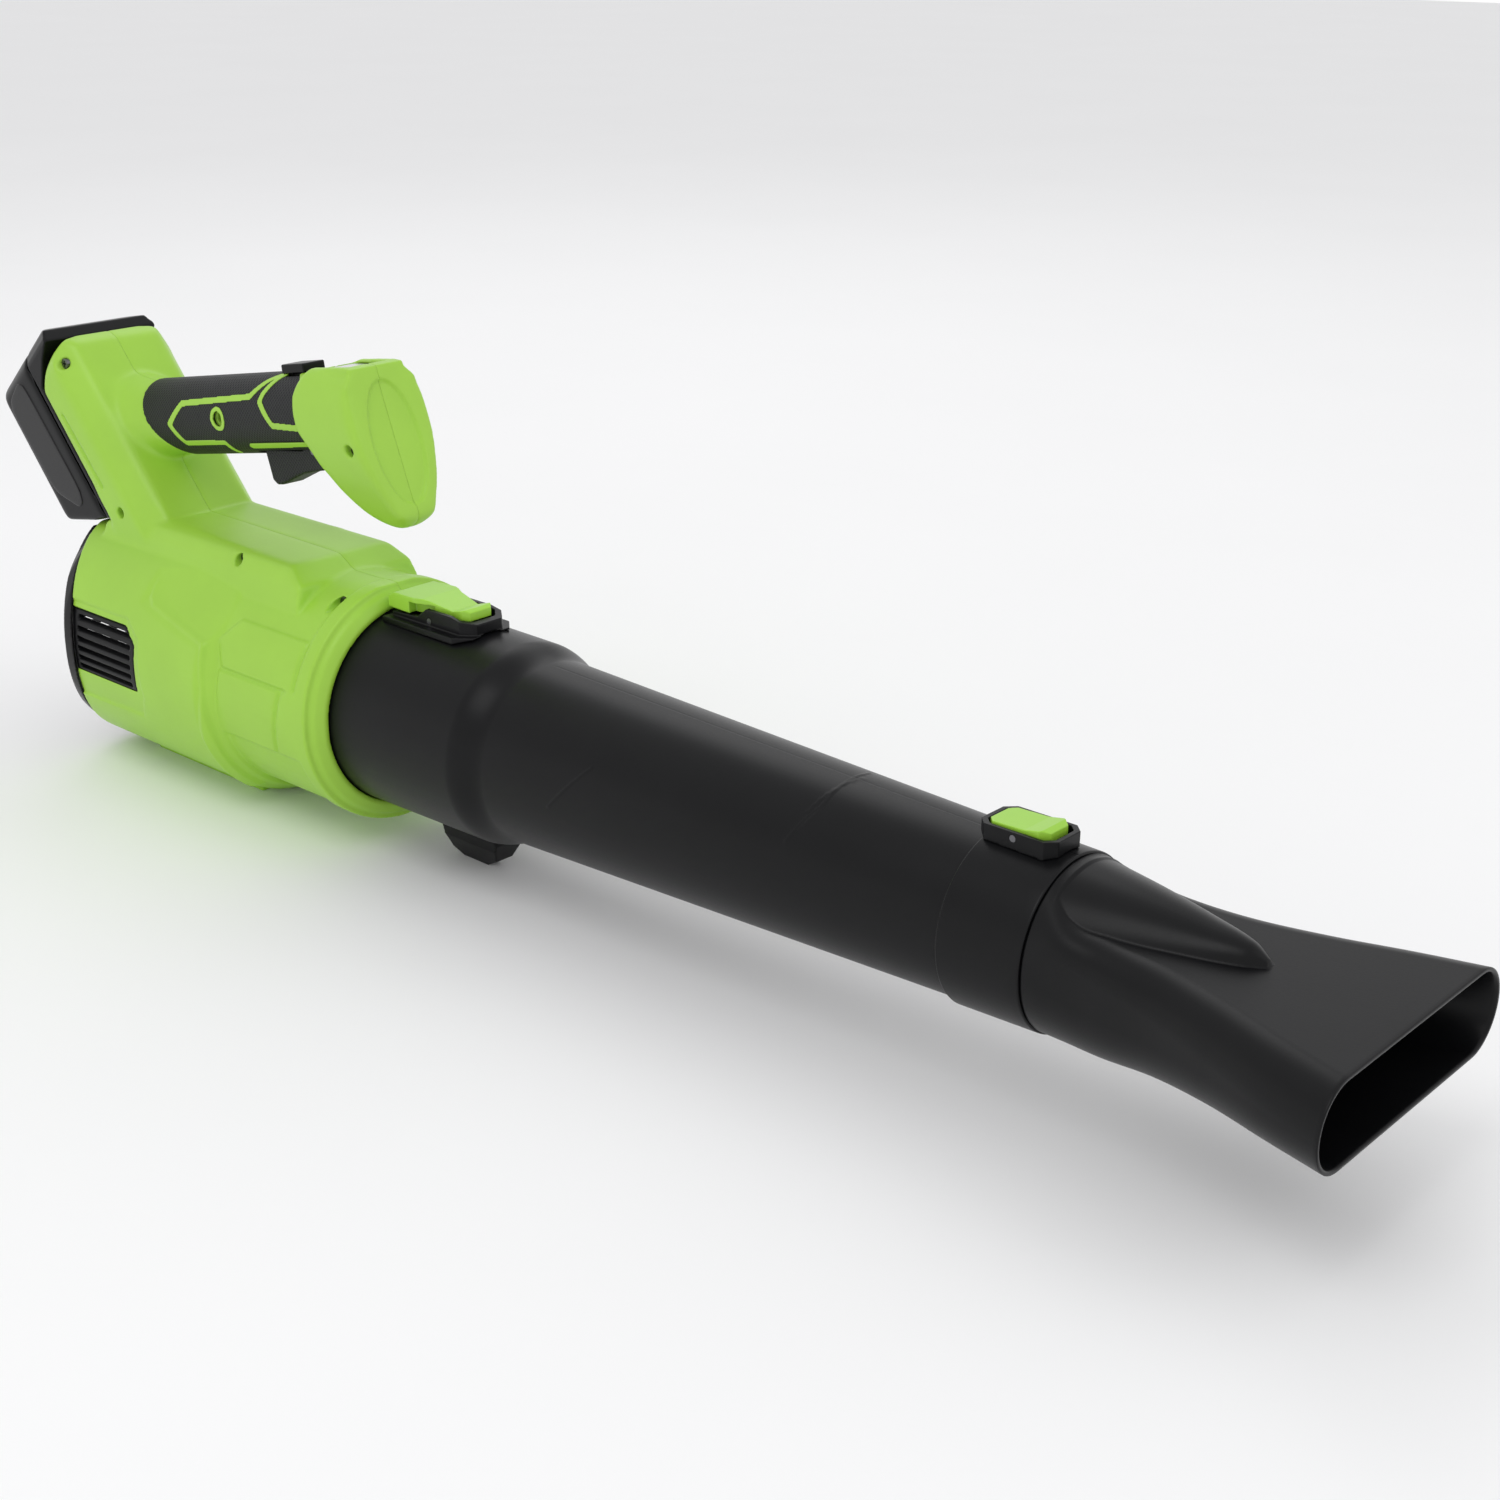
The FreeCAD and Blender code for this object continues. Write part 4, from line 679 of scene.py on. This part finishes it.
# steps over the panel's rounded edge: how far in from the outline, and distance from the mirror plane
LABEL_STEPS = [(0.0, 36.2), (0.0, 37.15), (0.25, 37.35), (0.8, 37.4), (4.0, 37.4), (9.0, 37.4)]


def pack_labels():
    """Blank glossy panels on both sides of the pack."""
    outline = []
    count = len(LABEL_OUTLINE)
    for index in range(count):
        before, here, after = (LABEL_OUTLINE[(index + shift) % count] for shift in (-1, 0, 1))
        start = [h + (b - h) * 0.28 for h, b in zip(here, before)]
        end = [h + (a - h) * 0.28 for h, a in zip(here, after)]
        for step in range(9):
            t = step / 8
            outline.append([(1 - t) ** 2 * s + 2 * t * (1 - t) * h + t * t * e
                            for s, h, e in zip(start, here, end)])
    middle = [sum(point[axis] for point in outline) / len(outline) for axis in (0, 1)]

    def loop(shrink, y):
        ring = []
        for forward, up in outline:
            reach = math.hypot(forward - middle[0], up - middle[1])
            scale = 1 - shrink / reach
            f = middle[0] + (forward - middle[0]) * scale
            u = middle[1] + (up - middle[1]) * scale
            ring.append((MAST_FOOT[0] + MAST_COS * f - MAST_SIN * u, y,
                         MAST_FOOT[1] + MAST_SIN * f + MAST_COS * u))
        return ring

    for name, side in (("right_pack_label", -1), ("left_pack_label", 1)):
        piece = loops_mesh(name, [loop(reach, side * y) for reach, y in LABEL_STEPS])
        work = bmesh.new()
        work.from_mesh(piece.data)
        ends = [edge for edge in work.edges if edge.is_boundary]
        bmesh.ops.holes_fill(work, edges=ends)
        bmesh.ops.recalc_face_normals(work, faces=work.faces)
        work.to_mesh(piece.data)
        work.free()
        finished(piece, name, "battery", "black_plastic", (), LABEL)


# ------------------------------------------------------------------ build

tube_skin()
nozzle_skin()
shell_halves()
for side in ("right", "left"):
    cover = moulded(f"{side}_grip_cover", 0.45, 4, 0.7)
    finished(cover, f"{side}_grip_skin", "housing", "grip_rubber", [f"{side}_grip_cover"])
    louvre = moulded(f"{side}_louvre", 0.45, 3, 0.6)
    finished(louvre, f"{side}_louvre_skin", "housing", "black_plastic", [f"{side}_louvre"])

for node, body, slot, voxel, smooth in (
        ("intake_grille", "housing", "black_plastic", 0.6, 3),
        ("trigger", "trigger", "grip_rubber", 0.4, 5),
        ("thumb_button", "thumb_button", "black_plastic", 0.25, 4),
        ("release_button", "release_button", "green_button", 0.3, 4),
        ("rear_latch_carrier", "tube", "black_plastic", 0.3, 5),
        ("rear_latch_lever", "rear_latch", "green_button", 0.3, 6),
        ("front_latch_carrier", "tube", "black_plastic", 0.25, 4),
        ("front_latch_rocker", "front_latch", "green_button", 0.22, 5),
        ("tube_foot", "tube", "black_plastic", 0.5, 5),
        ("display_lens", "housing", "display_window", 0.25, 2)):
    finished(moulded(node, voxel, smooth, 0.6), node + "_skin", body, slot, [node])

for node, shape in (("battery_base_case", narrow_base), ("battery_cover_case", rounded_cover)):
    finished(moulded(node, 0.5, 2, 0.6, shape), node + "_skin", "battery", "black_plastic", [node])
grip_inlays()
pack_labels()

# The CAD parts that are still shown get the finish of their slot; the screws get the steel finish with its
# painted shade
for name, node in frame["nodes"].items():
    if not node.hide_render:
        node.data.materials.clear()
        node.data.materials.append(FINISH[SLOT_OF[name]])


# ------------------------------------------------------------------ floor, light and camera

CAMERA_SPOT = (0.9992, -0.6776, 0.4720)
CAMERA_TURN, CAMERA_LIFT, CAMERA_ROLL = 41.78, 21.68, 0.3
LENS = 52.34
SENSOR = 36
FLOOR_REACH = 9
LOOK_AT = (0.2, 0, 0.1)


def pale_floor():
    """A plain pale floor."""
    mesh = bpy.data.meshes.new("floor")
    corners = [(a * FLOOR_REACH, b * FLOOR_REACH, 0) for a, b in ((-1, -1), (1, -1), (1, 1), (-1, 1))]
    mesh.from_pydata(corners, [], [(0, 1, 2, 3)])
    floor = linked("floor", mesh)
    material, link, add = new_material("pale_floor")
    place = add("ShaderNodeTexCoord")
    clouds = add("ShaderNodeTexNoise", Scale=3.0, Detail=4.0)
    link(place.outputs["Object"], clouds.inputs["Vector"])
    tint = add("ShaderNodeValToRGB")
    tint.color_ramp.elements[0].color = (0.93, 0.93, 0.93, 1)
    tint.color_ramp.elements[1].color = (0.96, 0.96, 0.96, 1)
    link(clouds.outputs["Fac"], tint.inputs["Fac"])
    shader = add("ShaderNodeBsdfPrincipled", Roughness=0.9)
    link(tint.outputs["Color"], shader.inputs["Base Color"])
    end = add("ShaderNodeOutputMaterial")
    link(shader.outputs["BSDF"], end.inputs["Surface"])
    floor.data.materials.append(material)


def soft_light():
    """A sky that is white at the horizon and a little dimmer above, and three large lamps."""
    world = bpy.data.worlds.new("studio")
    scene.world = world
    world.use_nodes = True
    sky = world.node_tree.nodes["Background"]
    sky.inputs["Strength"].default_value = 1.0
    nodes, join = world.node_tree.nodes, world.node_tree.links.new
    place = nodes.new("ShaderNodeTexCoord")
    split = nodes.new("ShaderNodeSeparateXYZ")
    fade = nodes.new("ShaderNodeValToRGB")
    join(place.outputs["Generated"], split.inputs["Vector"])
    join(split.outputs["Z"], fade.inputs["Fac"])
    join(fade.outputs["Color"], sky.inputs["Color"])
    fade.color_ramp.elements[0].position = 0.12
    fade.color_ramp.elements[0].color = (1.0, 1.0, 1.0, 1)
    fade.color_ramp.elements[1].position = 0.42
    fade.color_ramp.elements[1].color = (0.78, 0.78, 0.79, 1)
    for name, spot, size, power in (("key", (0.5, -1.2, 2.0), 1.1, 9), ("fill", (2.2, 0.8, 1.6), 1.2, 4),
                                    ("back", (-0.9, 1.3, 1.8), 1.2, 5)):
        light = bpy.data.lights.new(name, "AREA")
        light.size = size
        light.energy = power
        lamp = bpy.data.objects.new(name, light)
        scene.collection.objects.link(lamp)
        lamp.location = spot
        lamp.rotation_euler = (Vector(LOOK_AT) - Vector(spot)).to_track_quat("-Z", "Y").to_euler()


def set_camera():
    """The camera that sees the object from its right side and front."""
    turn, lift, roll = (math.radians(angle) for angle in (CAMERA_TURN, CAMERA_LIFT, CAMERA_ROLL))
    back = Vector((math.sin(turn) * math.cos(lift), -math.cos(turn) * math.cos(lift), math.sin(lift)))
    right = Vector((math.cos(turn), math.sin(turn), 0))
    up = back.cross(right)
    level = right * math.cos(roll) + up * math.sin(roll)
    upright = up * math.cos(roll) - right * math.sin(roll)
    lens = bpy.data.cameras.new("camera")
    lens.lens = LENS
    lens.sensor_width = SENSOR
    camera = bpy.data.objects.new("camera", lens)
    scene.collection.objects.link(camera)
    rows = [(level[axis], upright[axis], back[axis], CAMERA_SPOT[axis]) for axis in range(3)]
    camera.matrix_world = Matrix(rows + [(0, 0, 0, 1)])
    scene.camera = camera
    scene.view_settings.view_transform = "Standard"


pale_floor()
soft_light()
set_camera()
